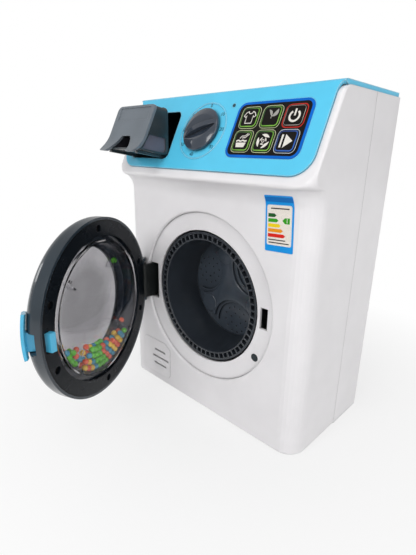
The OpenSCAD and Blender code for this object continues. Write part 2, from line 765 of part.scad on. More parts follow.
// Ear that joins the door's rim to the hinge pin
module door_ear() {
    translate([0, barrel_len / 2 + ear_gap, 0]) rotate([-90, 0, 0]) difference() {
        linear_extrude(ear_t) {
            translate([-hinge_x, -pin_up]) circle(r = barrel_d / 2);
            translate([-hinge_x, -pin_up - barrel_d / 2]) square([hinge_x - notch_x + 1, barrel_d / 2 + 1]);
        }
        translate([-hinge_x, -pin_up, -over]) cylinder(h = ear_t, r = pin_d / 2 + touch);
    }
}

module door_inner_ring() color("#2e353d") {
    on_door() difference() {
        union() {
            tube(door_r - door_wall - 0.2, inner_d / 2, inner_t, $fn = 96);
            translate([0, 0, inner_t - touch])
                tube(flange_r + collar_gap + collar_t, flange_r + collar_gap, 3.5, $fn = 96);
            for (a = door_screw_angles) rotate([0, 0, a]) translate([door_screw_r, 0, 0])
                cylinder(h = 6, r = 3.9);
        }
        for (a = door_screw_angles) rotate([0, 0, a]) translate([door_screw_r, 0, 0]) {
            translate([0, 0, -over]) cylinder(h = 10, r = screw_r + 0.2);
            translate([0, 0, -over]) cylinder(h = 5, r = screw_head_r + 0.2);
        }
        hinge_notch();
        translate([tongue_x[0] - 0.6, -lever_w / 2 - 0.5, -over]) cube([6.8, lever_w + 1, 10]);
        translate([flange_r - 1, -lever_w / 2 - 0.5, inner_t]) cube([9, lever_w + 1, 10]);
        translate([67.5, lever_w / 2 + 2.8, -over]) cylinder(h = 10, r = 1.1, $fn = 3);
    }
}

module window_lens() color("#b8c0c4", 0.35) {
    rise = 2.2;
    edge = door_depth - door_wall - 0.1;
    r = window_d / 2 - 0.3;
    ball = (r * r + rise * rise) / (2 * rise);
    half = asin(r / ball);
    on_door() rotate_extrude($fn = 96) polygon(concat(
        [[0, edge - clear_wall], [r + 1.8, edge - clear_wall], [r + 1.8, edge], [r, edge]],
        arc(0, edge + rise - ball + 0.4, ball, 90 - half, 90, 6)
    ));
}

function bowl_r(t) = bowl_d / 2 - 2.8 * t / 12;

module bead_bowl() color("#c8ced2", 0.35) {
    r0 = bowl_d / 2;
    r1 = bowl_r(bowl_depth + clear_wall);
    b = clear_wall + bowl_depth;
    on_door() {
        rotate_extrude($fn = 96) polygon([
            [r0, 0], [r0 + clear_wall, 0], [r0 + clear_wall, flange_at], [flange_r, flange_at],
            [flange_r, flange_at + flange_t], [r0 + clear_wall - 0.2, flange_at + flange_t],
            [r1 + clear_wall, b + clear_wall], [0, b + clear_wall], [0, b], [r1, b], [r0, clear_wall]
        ]);
        for (a = paddle_angles) rotate([0, 0, a]) intersection() {
            translate([paddle_r[0], -paddle_t / 2, b - paddle_h])
                cube([paddle_r[1] - paddle_r[0] + 2, paddle_t, paddle_h + 0.5]);
            cylinder(h = b + 1, r1 = bowl_r(0) + 0.5, r2 = bowl_r(b) + 0.3);
        }
    }
}

module bowl_cover() color("#c8ced2", 0.35) {
    on_door() {
        cylinder(h = clear_wall - 0.05, r = bowl_d / 2 - 0.05, $fn = 96);
        for (a = paddle_angles) rotate([0, 0, a])
            translate([pocket_r[0] - 0.6, -1, -1.3]) cube([2.2, 2, 1.4]);
    }
}

// Loose beads: rows along the bowl's wall in two layers, each row shorter than the one outside it
bead_rows = [[-139, -18], [-127, -29], [-111, -43], [-97, -61]];

function bead_list() = [
    for (layer = [0, 1], row = [0:3])
        let (
            r = bowl_r(clear_wall + bead_layer(layer)) - bead_d / 2 - 0.9 - row * bead_d * 1.02,
            step = 2 * asin(bead_d * 0.52 / r),
            n = floor((bead_rows[row][1] - bead_rows[row][0]) / step)
        )
        for (i = [0:n])
            let (a = bead_rows[row][0] + i * step + layer * 2)
            if (min([for (p = paddle_angles) abs((a - p + 540) % 360 - 180)]) > 5.2)
                [r * cos(a), r * sin(a), clear_wall + bead_layer(layer), (i * 7 + row * 5 + layer * 3) % 9]
];

function bead_layer(layer) = 0.2 + bead_d / 2 + layer * (bead_d + 0.1);

lone_beads = [[-32.6, 31.6, 0], [-39.8, -29.4, 4]];

module beads(kinds) {
    on_door() {
        for (b = bead_list()) if (len(search(b[3], kinds)) > 0) translate([b[0], b[1], b[2]]) sphere(d = bead_d, $fn = 24);
        for (b = lone_beads) if (len(search(b[2], kinds)) > 0)
            translate([b[0], b[1], clear_wall + bead_layer(1)]) sphere(d = bead_d, $fn = 24);
    }
}

module beads_green() color("#5ab41e") beads([0, 2, 7]);
module beads_coral() color("#e15f3c") beads([1, 4]);
module beads_yellow() color("#e6b93c") beads([3, 8]);
module beads_blue() color("#3c8ca5") beads([5, 6]);

module door_screws() color("dimgray") {
    on_door() for (a = door_screw_angles) rotate([0, 0, a]) translate([door_screw_r, 0, 4]) mirror([0, 0, 1])
        screw(7.5, head_h = 1.6);
}

module latch_lever() color("skyblue") {
    top = handle_gap + handle_t;
    on_door() difference() {
        union() {
            rotate([0, 0, lever_span[0]]) rotate_extrude(angle = lever_span[1] - lever_span[0], $fn = 96)
                polygon(concat(
                    [for (i = [0:6]) let (a = 22 + 32 * i / 6) handle_point(a, handle_gap)],
                    [for (i = [6:-1:0]) let (a = 22 + 32 * i / 6) handle_point(a, top)],
                    [handle_point(16, top + 1.4), handle_point(14, top - 0.6)]
                ));
            translate([0, lever_w / 2, 0]) rotate([90, 0, 0]) linear_extrude(lever_w) polygon([
                [tongue_x[0], -tongue_out], [tongue_x[1], -tongue_out + 1.2], [tongue_x[1], 4.5],
                [lever_at[0] + 3.2, lever_at[1]], handle_point(27, handle_gap + 1),
                handle_point(38, top - 1), [lever_at[0] + 0.5, lever_at[1] + 6],
                [lever_at[0] - 2.8, 9.4], [lever_at[0] - 2.8, 6.4], [tongue_x[0], 3.5]
            ]);
        }
        translate([lever_at[0], -20, lever_at[1]]) rotate([-90, 0, 0]) cylinder(h = 40, r = latch_pin_r + 0.05);
        translate([lever_at[0], 2.2, lever_at[1]]) rotate([-90, 0, 0]) cylinder(h = 10, r = 2.5);
    }
}

// Point on the door's outer form at an angle of its curve, raised by a distance
function handle_point(a, up) = let (nx = cos(a) / dome_a, nz = sin(a) / dome_b, n = sqrt(nx * nx + nz * nz))
    [window_d / 2 + dome_a * cos(a) + up * nx / n, door_rim + dome_b * sin(a) + up * nz / n];

module latch_pin() color("silver") {
    h = lever_w + 1 + 2 * lug_t;
    on_door() translate([lever_at[0], -h / 2, lever_at[1]]) rotate([-90, 0, 0]) cylinder(h = h, r = latch_pin_r);
}

module latch_spring() color("gray") {
    on_door() translate([lever_at[0], 2.9, lever_at[1]]) rotate([-90, 0, 0]) coil(1.8, 0.6, 4, 0.95);
}

// Front plate's line as [y, z] in its slide frame, from its top down to a height, set back by a distance
function plate_line(back, low) =
    let (
        r = plate_bend + back,
        cy = plate_knee * tan(lean) - plate_bend * cos(lean),
        cz = plate_knee + plate_bend * sin(lean)
    )
    concat(
        [[plate_top * tan(lean) + back / cos(lean), plate_top]],
        arc(cy, cz, r, -lean, -asin((cz - low) / r), 8)
    );

// Lower rear corner and upright rear edge of the tray as [y, z], set in by a distance and up to a height
function tray_rear(inset, low, r, high) =
    let (cz = low + r, cy = tray_depth - inset - cz * tan(drawer_rise) - r / cos(drawer_rise))
    concat(arc(cy, cz, r, -90, drawer_rise, 5), [[tray_depth - inset - high * tan(drawer_rise), high]]);

module drawer_front() color("#6c747b") {
    high = plate_top - 2;
    low = 28.5;
    w = slot_w - 10.8;
    on_slide(drawer_out) difference() {
        intersection() {
            translate([-slot_w / 2, 0, 0]) rotate([90, 0, 90]) linear_extrude(slot_w)
                polygon(concat(plate_line(0, drawer_gap), reverse(plate_line(front_t, drawer_gap))));
            slide_hole(-drawer_gap);
        }
        translate([0, -slot_reach, 0]) rotate([-90, 0, 0]) mirror([0, 1, 0]) linear_extrude(2 * slot_reach)
            polygon([
                [-notch_w[0] / 2, -over], [notch_w[0] / 2, -over], [notch_w[1] / 2, notch_h - 2],
                [notch_w[1] / 2 - 2, notch_h], [2 - notch_w[1] / 2, notch_h], [-notch_w[1] / 2, notch_h - 2]
            ]);
        translate([-w / 2, 0, 0]) rotate([90, 0, 90]) linear_extrude(w) polygon([
            [low * tan(lean) - 3, low], [low * tan(lean) + 0.6, low],
            [high * tan(lean) + 0.6, high], [high * tan(lean) - 3, high]
        ]);
    }
}

module drawer_tray() color("#4a5058") {
    w = slot_w - 2 * drawer_gap;
    floor_z = tray_low + tray_wall;
    window = [floor_z, floor_z + 12];
    on_slide(drawer_out) {
        difference() {
            intersection() {
                slide_hole(-drawer_gap);
                translate([-slot_w, 0, 0]) rotate([90, 0, 90]) linear_extrude(2 * slot_w) polygon(concat(
                    plate_line(front_t + touch, tray_low), tray_rear(0, tray_low, tray_corner, plate_top)));
            }
            translate([-w / 2 + tray_wall, 0, 0]) rotate([90, 0, 90]) linear_extrude(w - 2 * tray_wall)
                polygon(concat([[-20, plate_top + over], [-20, floor_z]],
                    tray_rear(tray_wall, floor_z, tray_corner - tray_wall, plate_top + over)));
            translate([-w, 0, 0]) rotate([90, 0, 90]) linear_extrude(2 * w) polygon(concat(
                [[plate_line(front_t + 1.8, window[1])[9][0], window[1]],
                    [plate_line(front_t + 1.8, window[0])[9][0], window[0]]],
                tray_rear(3, window[0], tray_corner - 1, window[1])));
        }
        for (sx = [-1, 1]) translate([sx * (w / 2 - slot_r - 1.6) - 2, front_t, drawer_gap])
            cube([4, runner_len - front_t, tray_low - drawer_gap + touch]);
    }
}

module drawer_sleeve() color("#33393f") {
    difference() {
        intersection() {
            on_slide() slide_hole(tray_wall, -slot_reach, sleeve_len);
            fascia() translate([-body_w, -slot_reach, -body_d - panel_wall]) cube([2 * body_w, 4 * slot_reach, body_d]);
        }
        on_slide() slide_hole(0, -slot_reach - over, sleeve_len + over);
    }
}

module knob() color("#464e5c") {
    r = knob_d / 2;
    ball = (r * r + 16) / 8;
    fascia() translate([dial_at[0], dial_at[1], 0.4]) rotate([0, 0, knob_turn]) difference() {
        rotate_extrude($fn = 96) polygon(concat(
            [[0, 0], [r - 0.6, 0], [r, 0.8], [r, knob_h - 4.4]],
            arc(0, knob_h - ball, ball, 90 - asin(r / ball), 90, 8)
        ));
        for (s = [-1, 1]) translate([-r, s * 9.4, knob_h + 2.4]) rotate([0, 90, 0]) cylinder(h = 2 * r, r = 7.6);
        translate([0, 0, -over]) cylinder(h = 4, r = knob_shaft_d / 2 + touch);
    }
}

module knob_shaft() color("white") {
    fascia() translate([dial_at[0], dial_at[1], -12]) cylinder(h = 15.3, r = knob_shaft_d / 2);
}

module dial_switch() color("#33373b") {
    fascia() translate([dial_at[0], dial_at[1], 0]) difference() {
        translate([-12, -12, -10.5]) cube([24, 24, 10.5 - panel_wall]);
        translate([0, 0, -20]) cylinder(h = 30, r = knob_shaft_d / 2 + 0.05);
    }
}

module key(row, col) {
    side = key_side + 2 * key_flange;
    fascia() translate([key_first[0] + col * key_pitch[0], key_first[1] + row * key_pitch[1], 0]) {
        translate([0, 0, -key_flange_at]) linear_extrude(key_flange_at + key_top)
            polygon(round_rect(key_side, key_side, key_r));
        translate([0, 0, -key_flange_at - 1.2]) linear_extrude(1.2) polygon(round_rect(side, side, key_r));
    }
}

module key_basin() color("#1c1612") key(0, 0);
module key_swirl() color("#1c1612") key(0, 1);
module key_start() color("#1c1612") key(0, 2);
module key_shirt() color("#1c1612") key(1, 0);
module key_leaf() color("#1c1612") key(1, 1);
module key_power() color("#1c1612") key(1, 2);

module key_overlay() color("#0a78dc") {
    fascia() translate([0, 0, -overlay_sunk]) difference() {
        translate([field_mid()[0], field_mid()[1], 0]) linear_extrude(overlay_t)
            polygon(round_rect(field[1] - field[0], field[3] - field[2], 7));
        translate([0, 0, -over]) at_keys() linear_extrude(10)
            polygon(round_rect(key_side + 2 * key_gap, key_side + 2 * key_gap, key_r + key_gap));
    }
}

module key_mat() color("gainsboro") {
    fascia() difference() {
        union() {
            translate([field_mid()[0], field_mid()[1], -board_at]) linear_extrude(0.9)
                polygon(round_rect(field[1] - field[0] - 1.4, field[3] - field[2] - 1.6, 3));
            at_keys() translate([0, 0, -board_at]) cylinder(h = board_at - mat_at, r = 4.5);
        }
        at_keys() translate([0, 0, -board_at - over]) cylinder(h = 2, r = 2.5);
    }
}

module circuit_board() color("#1f6b3a") {
    fascia() difference() {
        translate([board_edge[0], board_edge[2], -board_at - board_t])
            cube([board_edge[1] - board_edge[0], board_edge[3] - board_edge[2], board_t]);
        translate([0, 0, -20]) at_board_posts() cylinder(h = 30, r = 1.2);
    }
}

module board_screws() color("silver") {
    fascia() at_board_posts() translate([0, 0, -board_at - board_t]) mirror([0, 0, 1])
        screw(5, head_r = 2.2, head_h = 1.4, r = 0.95);
}

module lamp_lens() color("#bfe8f7", 0.6) {
    fascia() translate([lamp_at[0], lamp_at[1], 0]) {
        translate([0, 0, -panel_wall - 1.2]) cylinder(h = 1.2, r = lamp_d / 2 + 0.9);
        translate([0, 0, -panel_wall]) cylinder(h = panel_wall + 0.5, r = lamp_d / 2);
    }
}

module speaker() color("#2b2b2b") {
    translate([speaker_at[0], front_y + wall, speaker_at[1]]) rotate([-90, 0, 0]) {
        difference() {
            cylinder(h = 3, r = 14);
            translate([0, 0, -over]) cylinder(h = 2.6, r = 11.5);
        }
        translate([0, 0, 3 - touch]) cylinder(h = 3, r1 = 12, r2 = 8);
        translate([0, 0, 6 - 2 * touch]) cylinder(h = 4.5, r = 8.5);
    }
}

plunger_proud = 0.3;
plunger_flange = [ring_back + 0.3, 1.2];

module door_plunger() color("#343a44") {
    inward(plunger_at[0], plunger_at[1], recess_depth - plunger_proud) {
        cylinder(h = 0.4 + touch, r1 = plunger_d / 2 - 0.4, r2 = plunger_d / 2);
        translate([0, 0, 0.4]) cylinder(h = plunger_flange[0] - recess_depth + plunger_proud, r = plunger_d / 2);
    }
    inward(plunger_at[0], plunger_at[1], plunger_flange[0]) cylinder(h = plunger_flange[1], r = 4.5);
    inward(plunger_at[0], plunger_at[1], plunger_flange[0] + plunger_flange[1] - touch) cylinder(h = 4, r = 1.8);
}

module plunger_spring() color("gray") {
    inward(plunger_at[0], plunger_at[1], plunger_flange[0] + plunger_flange[1] + 2.7) coil(3.1, 0.7, 4, 1.4);
}

module door_switch() color("#33373b") {
    inward(plunger_at[0], plunger_at[1], ring_back) difference() {
        cylinder(h = 12, r = 6.2);
        translate([0, 0, -over]) cylinder(h = 11.3, r = 4.8);
    }
}

module drum_barrel() color("#2d323a") {
    r0 = mouth_d / 2;
    r1 = floor_d / 2;
    rim = 7;
    end = drum_depth + floor_t + 1;
    inward(depth = drum_inset) difference() {
        rotate_extrude($fn = 96) polygon([
            [r0 + 0.5, 0], [drum_d / 2, 0], [drum_d / 2, rim], [r0 + barrel_wall, rim], [r1 + 2.6, end],
            [r1 + 1.1, end], [r1 + 1.1, drum_depth], [r1, drum_depth], [r0, 0.6]
        ]);
        for (i = [0:pockets - 1]) rotate([0, 0, 360 * i / pockets]) pocket();
    }
}

// One pocket of the rim: wider at its outer end so that the webs keep one thickness
module pocket() {
    half = 180 / pockets;
    w0 = pocket_r[0] * tan(half) - pocket_web / 2;
    w1 = pocket_r[1] * tan(half) - pocket_web / 2;
    translate([0, 0, -over]) linear_extrude(pocket_depth + over)
        polygon([[pocket_r[0], -w0], [pocket_r[1], -w1], [pocket_r[1], w1], [pocket_r[0], w0]]);
}

star_turn = -20;
lobe_at = 37;
lobe_r = 24;

// Three-armed star left between three round lobes
module star(r, cut) {
    difference() {
        circle(r = r);
        for (i = [0:2]) rotate(star_turn + 60 + 120 * i) translate([lobe_at, 0]) circle(r = cut);
    }
}

module drum_floor() color("#3a414b") {
    inward(depth = drum_inset + drum_depth) mirror([0, 1, 0]) difference() {
        union() {
            cylinder(h = floor_t, r = floor_d / 2 + 1, $fn = 96);
            translate([0, 0, -2]) linear_extrude(2 + touch) star(41, lobe_r - 1.2);
            translate([0, 0, -arm_h]) linear_extrude(arm_h) star(37, lobe_r + 1.6);
            for (i = [0:2]) rotate([0, 0, star_turn + 120 * i]) {
                translate([34, 0, -arm_h - 1]) cylinder(h = arm_h + 1, r = 7);
                translate([44.5, -4, -2]) cylinder(h = 2 + touch, r = 2);
            }
            translate([0, 0, floor_t - touch]) cylinder(h = 4, r = 8);
        }
        for (i = [0:2]) rotate([0, 0, star_turn + 60 + 120 * i]) translate([lobe_at - 4, 0, -over]) {
            for (k = [0:5]) rotate([0, 0, 60 * k]) translate([6.5, 0, 0]) cylinder(h = 9, r = 0.8);
            for (k = [0:11]) rotate([0, 0, 30 * k]) translate([13, 0, 0]) cylinder(h = 9, r = 0.8);
        }
        translate([0, 0, -2]) cylinder(h = 20, r = shaft_d / 2 + touch);
    }
}

module drum_shaft() color("silver") {
    inward(depth = drum_inset + drum_depth - 2) difference() {
        cylinder(h = gear_at + gear_t + 2 - drum_inset - drum_depth + 2, r = shaft_d / 2);
        translate([0, 0, 10]) cylinder(h = 30, r = screw_r);
    }
}

module shaft_screw() color("silver") {
    inward(depth = gear_at + gear_t + 2) screw(8, head_r = 4.6);
}

module drum_bearing() color("#b9a46a") {
    inward(depth = bulkhead_at - 0.6) difference() {
        union() {
            cylinder(h = 0.6, r = 8.5);
            cylinder(h = 4.6, r = 5.5);
        }
        translate([0, 0, -over]) cylinder(h = 10, r = shaft_d / 2 + 0.05);
    }
}

module tub_bulkhead() color("gainsboro") {
    inward(depth = bulkhead_at) difference() {
        union() {
            cylinder(h = bulkhead_t, r = 40);
            for (a = pillar_angles) rotate([0, 0, a]) {
                translate([0, -6, 0]) cube([pillar_r, 12, bulkhead_t]);
                translate([pillar_r, 0, 0]) cylinder(h = bulkhead_t, r = 7);
            }
            translate([-29, 0, 0]) cube([58, gear_c + 20, bulkhead_t]);
            for (sx = [-1, 1], dz = [-12, 12]) translate([sx * 23, gear_c + dz, 0])
                cylinder(h = motor_at - 2 - bulkhead_at, r = 3.5);
        }
        translate([0, 0, -over]) cylinder(h = 10, r = 5.5 + touch);
        for (a = pillar_angles) rotate([0, 0, a]) translate([pillar_r, 0, -over]) cylinder(h = 10, r = screw_r + 0.2);
        for (sx = [-1, 1], dz = [-12, 12]) translate([sx * 23, gear_c + dz, 4]) cylinder(h = 20, r = screw_r);
    }
}

module bulkhead_screws() color("silver") {
    inward(depth = bulkhead_at + bulkhead_t) for (a = pillar_angles) rotate([0, 0, a])
        translate([pillar_r, 0, 0]) screw(11);
    inward(depth = motor_at) for (sx = [-1, 1], dz = [-12, 12])
        translate([sx * 23, gear_c + dz, 0]) screw(8);
}

// Outline of a spur gear with involute flanks
function involute(a) = tan(a) * 180 / PI - a;
function tooth_half(teeth, r) =
    let (
        pitch = gear_module * teeth / 2,
        base = pitch * cos(20),
        a = r > base ? acos(base / r) : 0
    )
    90 / teeth - backlash / 4 / pitch * 180 / PI + involute(20) - involute(a);
function gear_outline(teeth) =
    let (
        pitch = gear_module * teeth / 2,
        base = pitch * cos(20),
        root = pitch - 1.3 * gear_module,
        radii = [root, max(base, root + 0.1), (max(base, root + 0.1) + pitch) / 2, pitch,
            pitch + gear_module * 0.5, pitch + gear_module * 0.9]
    )
    [for (i = [0:teeth - 1]) let (c = 360 * i / teeth)
        each concat(
            [for (r = radii) let (a = c - tooth_half(teeth, r)) [r * cos(a), r * sin(a)]],
            [for (r = reverse(radii)) let (a = c + tooth_half(teeth, r)) [r * cos(a), r * sin(a)]]
        )];

module drum_gear() color("white") {
    inward(depth = gear_at) difference() {
        union() {
            linear_extrude(gear_t) polygon(gear_outline(gear_teeth));
            translate([0, 0, -2]) cylinder(h = gear_t + 4, r = 6.5);
        }
        translate([0, 0, -10]) cylinder(h = 30, r = shaft_d / 2 + touch);
        for (a = [0:60:300]) rotate([0, 0, a]) translate([16, 0, -over]) cylinder(h = 10, r = 5);
    }
}

module motor_pinion() color("#b9a46a") {
    inward(0, -gear_c, gear_at - 0.5) rotate([0, 0, pinion_phase]) difference() {
        linear_extrude(gear_t + 1) polygon(gear_outline(pinion_teeth));
        translate([0, 0, -over]) cylinder(h = 20, r = 1 + touch);
    }
}

// The pinion turns a gap towards the tooth or gap that the gear shows on the line between the axes
pinion_phase = -90 + 180 / pinion_teeth * (gear_teeth % 4 == 0 ? 1 : 0);

module motor() color("silver") {
    inward(0, -gear_c, motor_at) difference() {
        intersection() {
            cylinder(h = motor_len, r = motor_d / 2);
            translate([-motor_d, -motor_d / 2 + 2, -over]) cube([2 * motor_d, motor_d - 4, motor_len + 2]);
        }
        translate([0, 0, -over]) cylinder(h = 5, r = 1);
    }
    inward(0, -gear_c, motor_at + motor_len - touch) cylinder(h = 2, r = 4);
}

module motor_bracket() color("gainsboro") {
    inward(0, -gear_c, motor_at - 2) difference() {
        union() {
            translate([-29, -17, 0]) cube([58, 34, 2]);
            tube(motor_d / 2 + 1.6, motor_d / 2 + 0.1, 10);
        }
        translate([0, 0, -over]) cylinder(h = 10, r = 4);
        for (sx = [-1, 1], dz = [-12, 12]) translate([sx * 23, dz, -over]) cylinder(h = 10, r = screw_r + 0.2);
    }
}

module battery_box() color("#2a2d31") {
    depth = back_y - wall - 1.5 - front_y - box_in;
    translate([0, front_y + box_in, battery_z]) rotate([-90, 0, 0]) difference() {
        linear_extrude(depth) polygon(round_rect(box_w + 2.8, box_h + 2.8, 1.5));
        translate([0, 0, 1.5]) linear_extrude(depth) polygon(round_rect(box_w, box_h, 0.8));
    }
}

module battery_cells() color("#3f6fb0") {
    for (i = [0:cells - 1]) translate([-cell_len / 2, cell_y, battery_z + (i - (cells - 1) / 2) * cell_pitch])
        rotate([0, 90, 0]) {
            cylinder(h = cell_len - 1, r = cell_d / 2);
            translate([0, 0, cell_len - 1 - touch]) cylinder(h = 1, r = 2.7);
        }
}

module battery_contacts() color("silver") {
    for (i = [0:cells - 1], s = [-1, 1])
        translate([s * (box_w / 2 - 0.3) - 0.25, cell_y - 5, battery_z + (i - (cells - 1) / 2) * cell_pitch - 5])
            cube([0.5, 10, 10]);
    for (i = [0:cells - 1]) translate([-box_w / 2 + 0.95, cell_y, battery_z + (i - (cells - 1) / 2) * cell_pitch])
        rotate([0, 90, 0]) coil(2.6, 0.5, 2, 0.95);
}

module battery_door() color("whitesmoke") {
    w = box_w + 2 * door_lap;
    h = box_h + 2 * door_lap;
    screw_z = h / 2 + 3.5;
    translate([0, back_y - 2, battery_z]) rotate([90, 0, 0]) mirror([0, 0, 1]) difference() {
        union() {
            linear_extrude(2) polygon(round_rect(w, h, 2.7));
            translate([0, screw_z, 0]) cylinder(h = 2, r = 4.9);
            translate([-4.9, h / 2 - 2, 0]) cube([9.8, 5.5, 2]);
        }
        translate([0, screw_z, -over]) cylinder(h = 10, r = screw_r + 0.2);
        translate([0, screw_z, 0.9]) cylinder(h = 10, r = screw_head_r + 0.3);
        for (k = [0:4]) translate([-9, -h / 2 + 5 + 2.4 * k, 1.4]) cube([18, 1.1, 2]);
    }
}

module battery_door_screw() color("silver") {
    translate([0, back_y - 1.1, battery_z + box_h / 2 + door_lap + 3.5]) rotate([-90, 0, 0]) screw(9, head_h = 1);
}

module case_screws() color("silver") {
    for (sx = [-1, 1], z = post_z) translate([sx * post_x, back_y - head_depth, z]) rotate([-90, 0, 0])
        screw(back_y - head_depth - split_y + 12);
}

label_x = [body_w / 2 - 43.4, body_w / 2 - 19];
label_low = hood_z - 36.2;
label_t = 0.25;

// The label lies on the front face and bends out with the flare at its top
module energy_label() color("#1e9be6") {
    across(label_x[0], label_x[1]) polygon(concat(
        [[front_y, label_low]],
        [for (i = [0:6]) flare_point(flare_end * i / 12, 0)],
        [for (i = [6:-1:0]) flare_point(flare_end * i / 12, label_t)],
        [[front_y - label_t, label_low]]
    ));
}

function flare_point(a, up) = [front_y - flare_r + (flare_r - up) * cos(a), hood_z + (flare_r - up) * sin(a)];

front_shell();
rear_shell();
control_panel();
door_ring();
hinge_bracket();
hinge_screws();
hinge_pin();
door_outer();
door_inner_ring();
window_lens();
bead_bowl();
bowl_cover();
beads_green();
beads_coral();
beads_yellow();
beads_blue();
door_screws();
latch_lever();
latch_pin();
latch_spring();
drawer_front();
drawer_tray();
drawer_sleeve();
knob();
knob_shaft();
dial_switch();
key_shirt();
key_leaf();
key_power();
key_basin();
key_swirl();
key_start();
key_overlay();
key_mat();
circuit_board();
board_screws();
lamp_lens();
speaker();
door_plunger();
plunger_spring();
door_switch();
drum_barrel();
drum_floor();
drum_shaft();
shaft_screw();
drum_gear();
drum_bearing();
tub_bulkhead();
bulkhead_screws();
motor();
motor_bracket();
motor_pinion();
battery_box();
battery_cells();
battery_contacts();
battery_door();
battery_door_screw();
case_screws();
energy_label();
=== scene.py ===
import json
import math

import bmesh
import bpy
import numpy as np
from mathutils import Matrix, Vector


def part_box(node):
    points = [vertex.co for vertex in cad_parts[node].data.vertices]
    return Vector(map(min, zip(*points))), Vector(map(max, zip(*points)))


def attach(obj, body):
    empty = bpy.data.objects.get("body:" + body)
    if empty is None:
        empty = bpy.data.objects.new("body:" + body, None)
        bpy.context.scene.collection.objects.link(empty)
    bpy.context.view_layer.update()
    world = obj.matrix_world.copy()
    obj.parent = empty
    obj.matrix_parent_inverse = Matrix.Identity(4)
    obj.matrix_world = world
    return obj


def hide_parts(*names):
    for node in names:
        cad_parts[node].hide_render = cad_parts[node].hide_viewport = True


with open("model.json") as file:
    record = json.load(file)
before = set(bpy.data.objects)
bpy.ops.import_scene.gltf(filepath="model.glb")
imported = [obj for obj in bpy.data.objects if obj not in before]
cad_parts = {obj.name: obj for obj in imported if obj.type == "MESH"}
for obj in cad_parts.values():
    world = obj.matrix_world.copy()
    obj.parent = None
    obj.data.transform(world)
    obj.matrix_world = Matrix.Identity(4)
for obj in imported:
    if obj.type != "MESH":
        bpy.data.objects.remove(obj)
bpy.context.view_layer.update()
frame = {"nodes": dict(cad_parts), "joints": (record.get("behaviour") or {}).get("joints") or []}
nodes = frame["nodes"]
scene = bpy.context.scene
scene.view_settings.view_transform = "Standard"
mm = 0.001  # lengths are written in millimetres and angles in degrees, unless a note says otherwise
print("stage: frame loaded,", len(nodes), "nodes")


# Shader helpers. Colours are written as they look on screen, 0 to 255.

def linear(rgb):  # to the linear values that a shader takes
    c = np.array(rgb, float) / 255
    return tuple(float(v) for v in np.where(c <= 0.04045, c / 12.92, ((c + 0.055) / 1.055) ** 2.4)) + (1.0,)


def tinted(rgb, factor):  # the same colour, lighter or darker
    return linear(np.clip(np.array(rgb, float) * factor, 0, 255))


def addNode(tree, kind, inputs=None, **fields):
    made = tree.nodes.new(kind)
    for name, value in fields.items():
        setattr(made, name, value)
    for name, value in (inputs or {}).items():
        if isinstance(value, bpy.types.NodeSocket):
            tree.links.new(value, made.inputs[name])
        else:
            made.inputs[name].default_value = value
    return made


def numberMath(tree, operation, *values):
    return addNode(tree, "ShaderNodeMath", dict(enumerate(values)), operation=operation).outputs["Value"]


def vectorMath(tree, operation, *values, result="Vector"):
    made = addNode(tree, "ShaderNodeVectorMath", dict(enumerate(values)), operation=operation)
    return made.outputs[result]


def newMaterial(name):
    material = bpy.data.materials.new(name)
    material.use_nodes = True
    tree = material.node_tree
    shader = tree.nodes["Principled BSDF"]
    where = addNode(tree, "ShaderNodeTexCoord").outputs["Object"]
    return material, tree, shader, where


def mixed(tree, factor, first, second):
    blend = addNode(tree, "ShaderNodeMix", data_type="RGBA")
    for socket, value in ((blend.inputs[0], factor), (blend.inputs[6], first), (blend.inputs[7], second)):
        if isinstance(value, bpy.types.NodeSocket):
            tree.links.new(value, socket)
        else:
            socket.default_value = value
    return blend.outputs[2]


def ranged(tree, value, low, high, toLow, toHigh):
    return addNode(tree, "ShaderNodeMapRange", {"Value": value, "From Min": low, "From Max": high,
                                                "To Min": toLow, "To Max": toHigh}).outputs["Result"]


def noise(tree, where, size, detail=2.0):  # size is that of one blotch
    return addNode(tree, "ShaderNodeTexNoise", {"Vector": where, "Scale": 1 / (size * mm),
                                                "Detail": detail}).outputs["Fac"]


noiseSpan = (0.3, 0.7)  # nearly all the values of a noise texture lie between these
blotchSpan = (0.35, 0.65)  # narrower, so that some of a blotch is at the full tint


def mottled(tree, where, size, colour, dark, light, detail=3):  # darker and lighter in soft blotches
    cloud = ranged(tree, noise(tree, where, size, detail), *blotchSpan, 0, 1)
    return mixed(tree, cloud, tinted(colour, dark), tinted(colour, light))


# wear and pale set a painted highlight: how strongly softened edges are drawn lighter, and towards how pale a
# colour
plainLook = dict(edge=0.5, grain=0.5, depth=0.08, wear=0.12, mottle=0.02, cloud=22, pale=0.35, specular=0.4,
                 gloss=0.0, glossRoughness=0.08)  # a look has these where it gives no others
detailPlan = dict(bumpHeight=0.05, cloud=9, roughSpread=0.08, flat=0.99, sharp=0.75)
# painted shade: an occlusion node reaching this far darkens gaps and inner corners towards shade times the
# colour; seamShade darkens the seam's band
creviceShadePlan = dict(reach=2.5, closed=0.35, open=0.9, shade=0.35, seamShade=0.2)
skinPlan = dict(radius=(1, 0.9, 0.8), depth=1.0)
clearPlan = dict(cloud=18, dark=0.98, light=1.01, ripple=8, rippleHeight=0.1, rippleStrength=0.03)
# in metalPlan, the last tint is a painted highlight that lightens softened edges
metalPlan = dict(cloud=6, cloudDetail=4, dark=0.9, light=1.05, worn=1.2)
inkPlan = dict(speck=0.5, dark=0.94, light=1.03, roughSpread=0.15, specular=0.35)


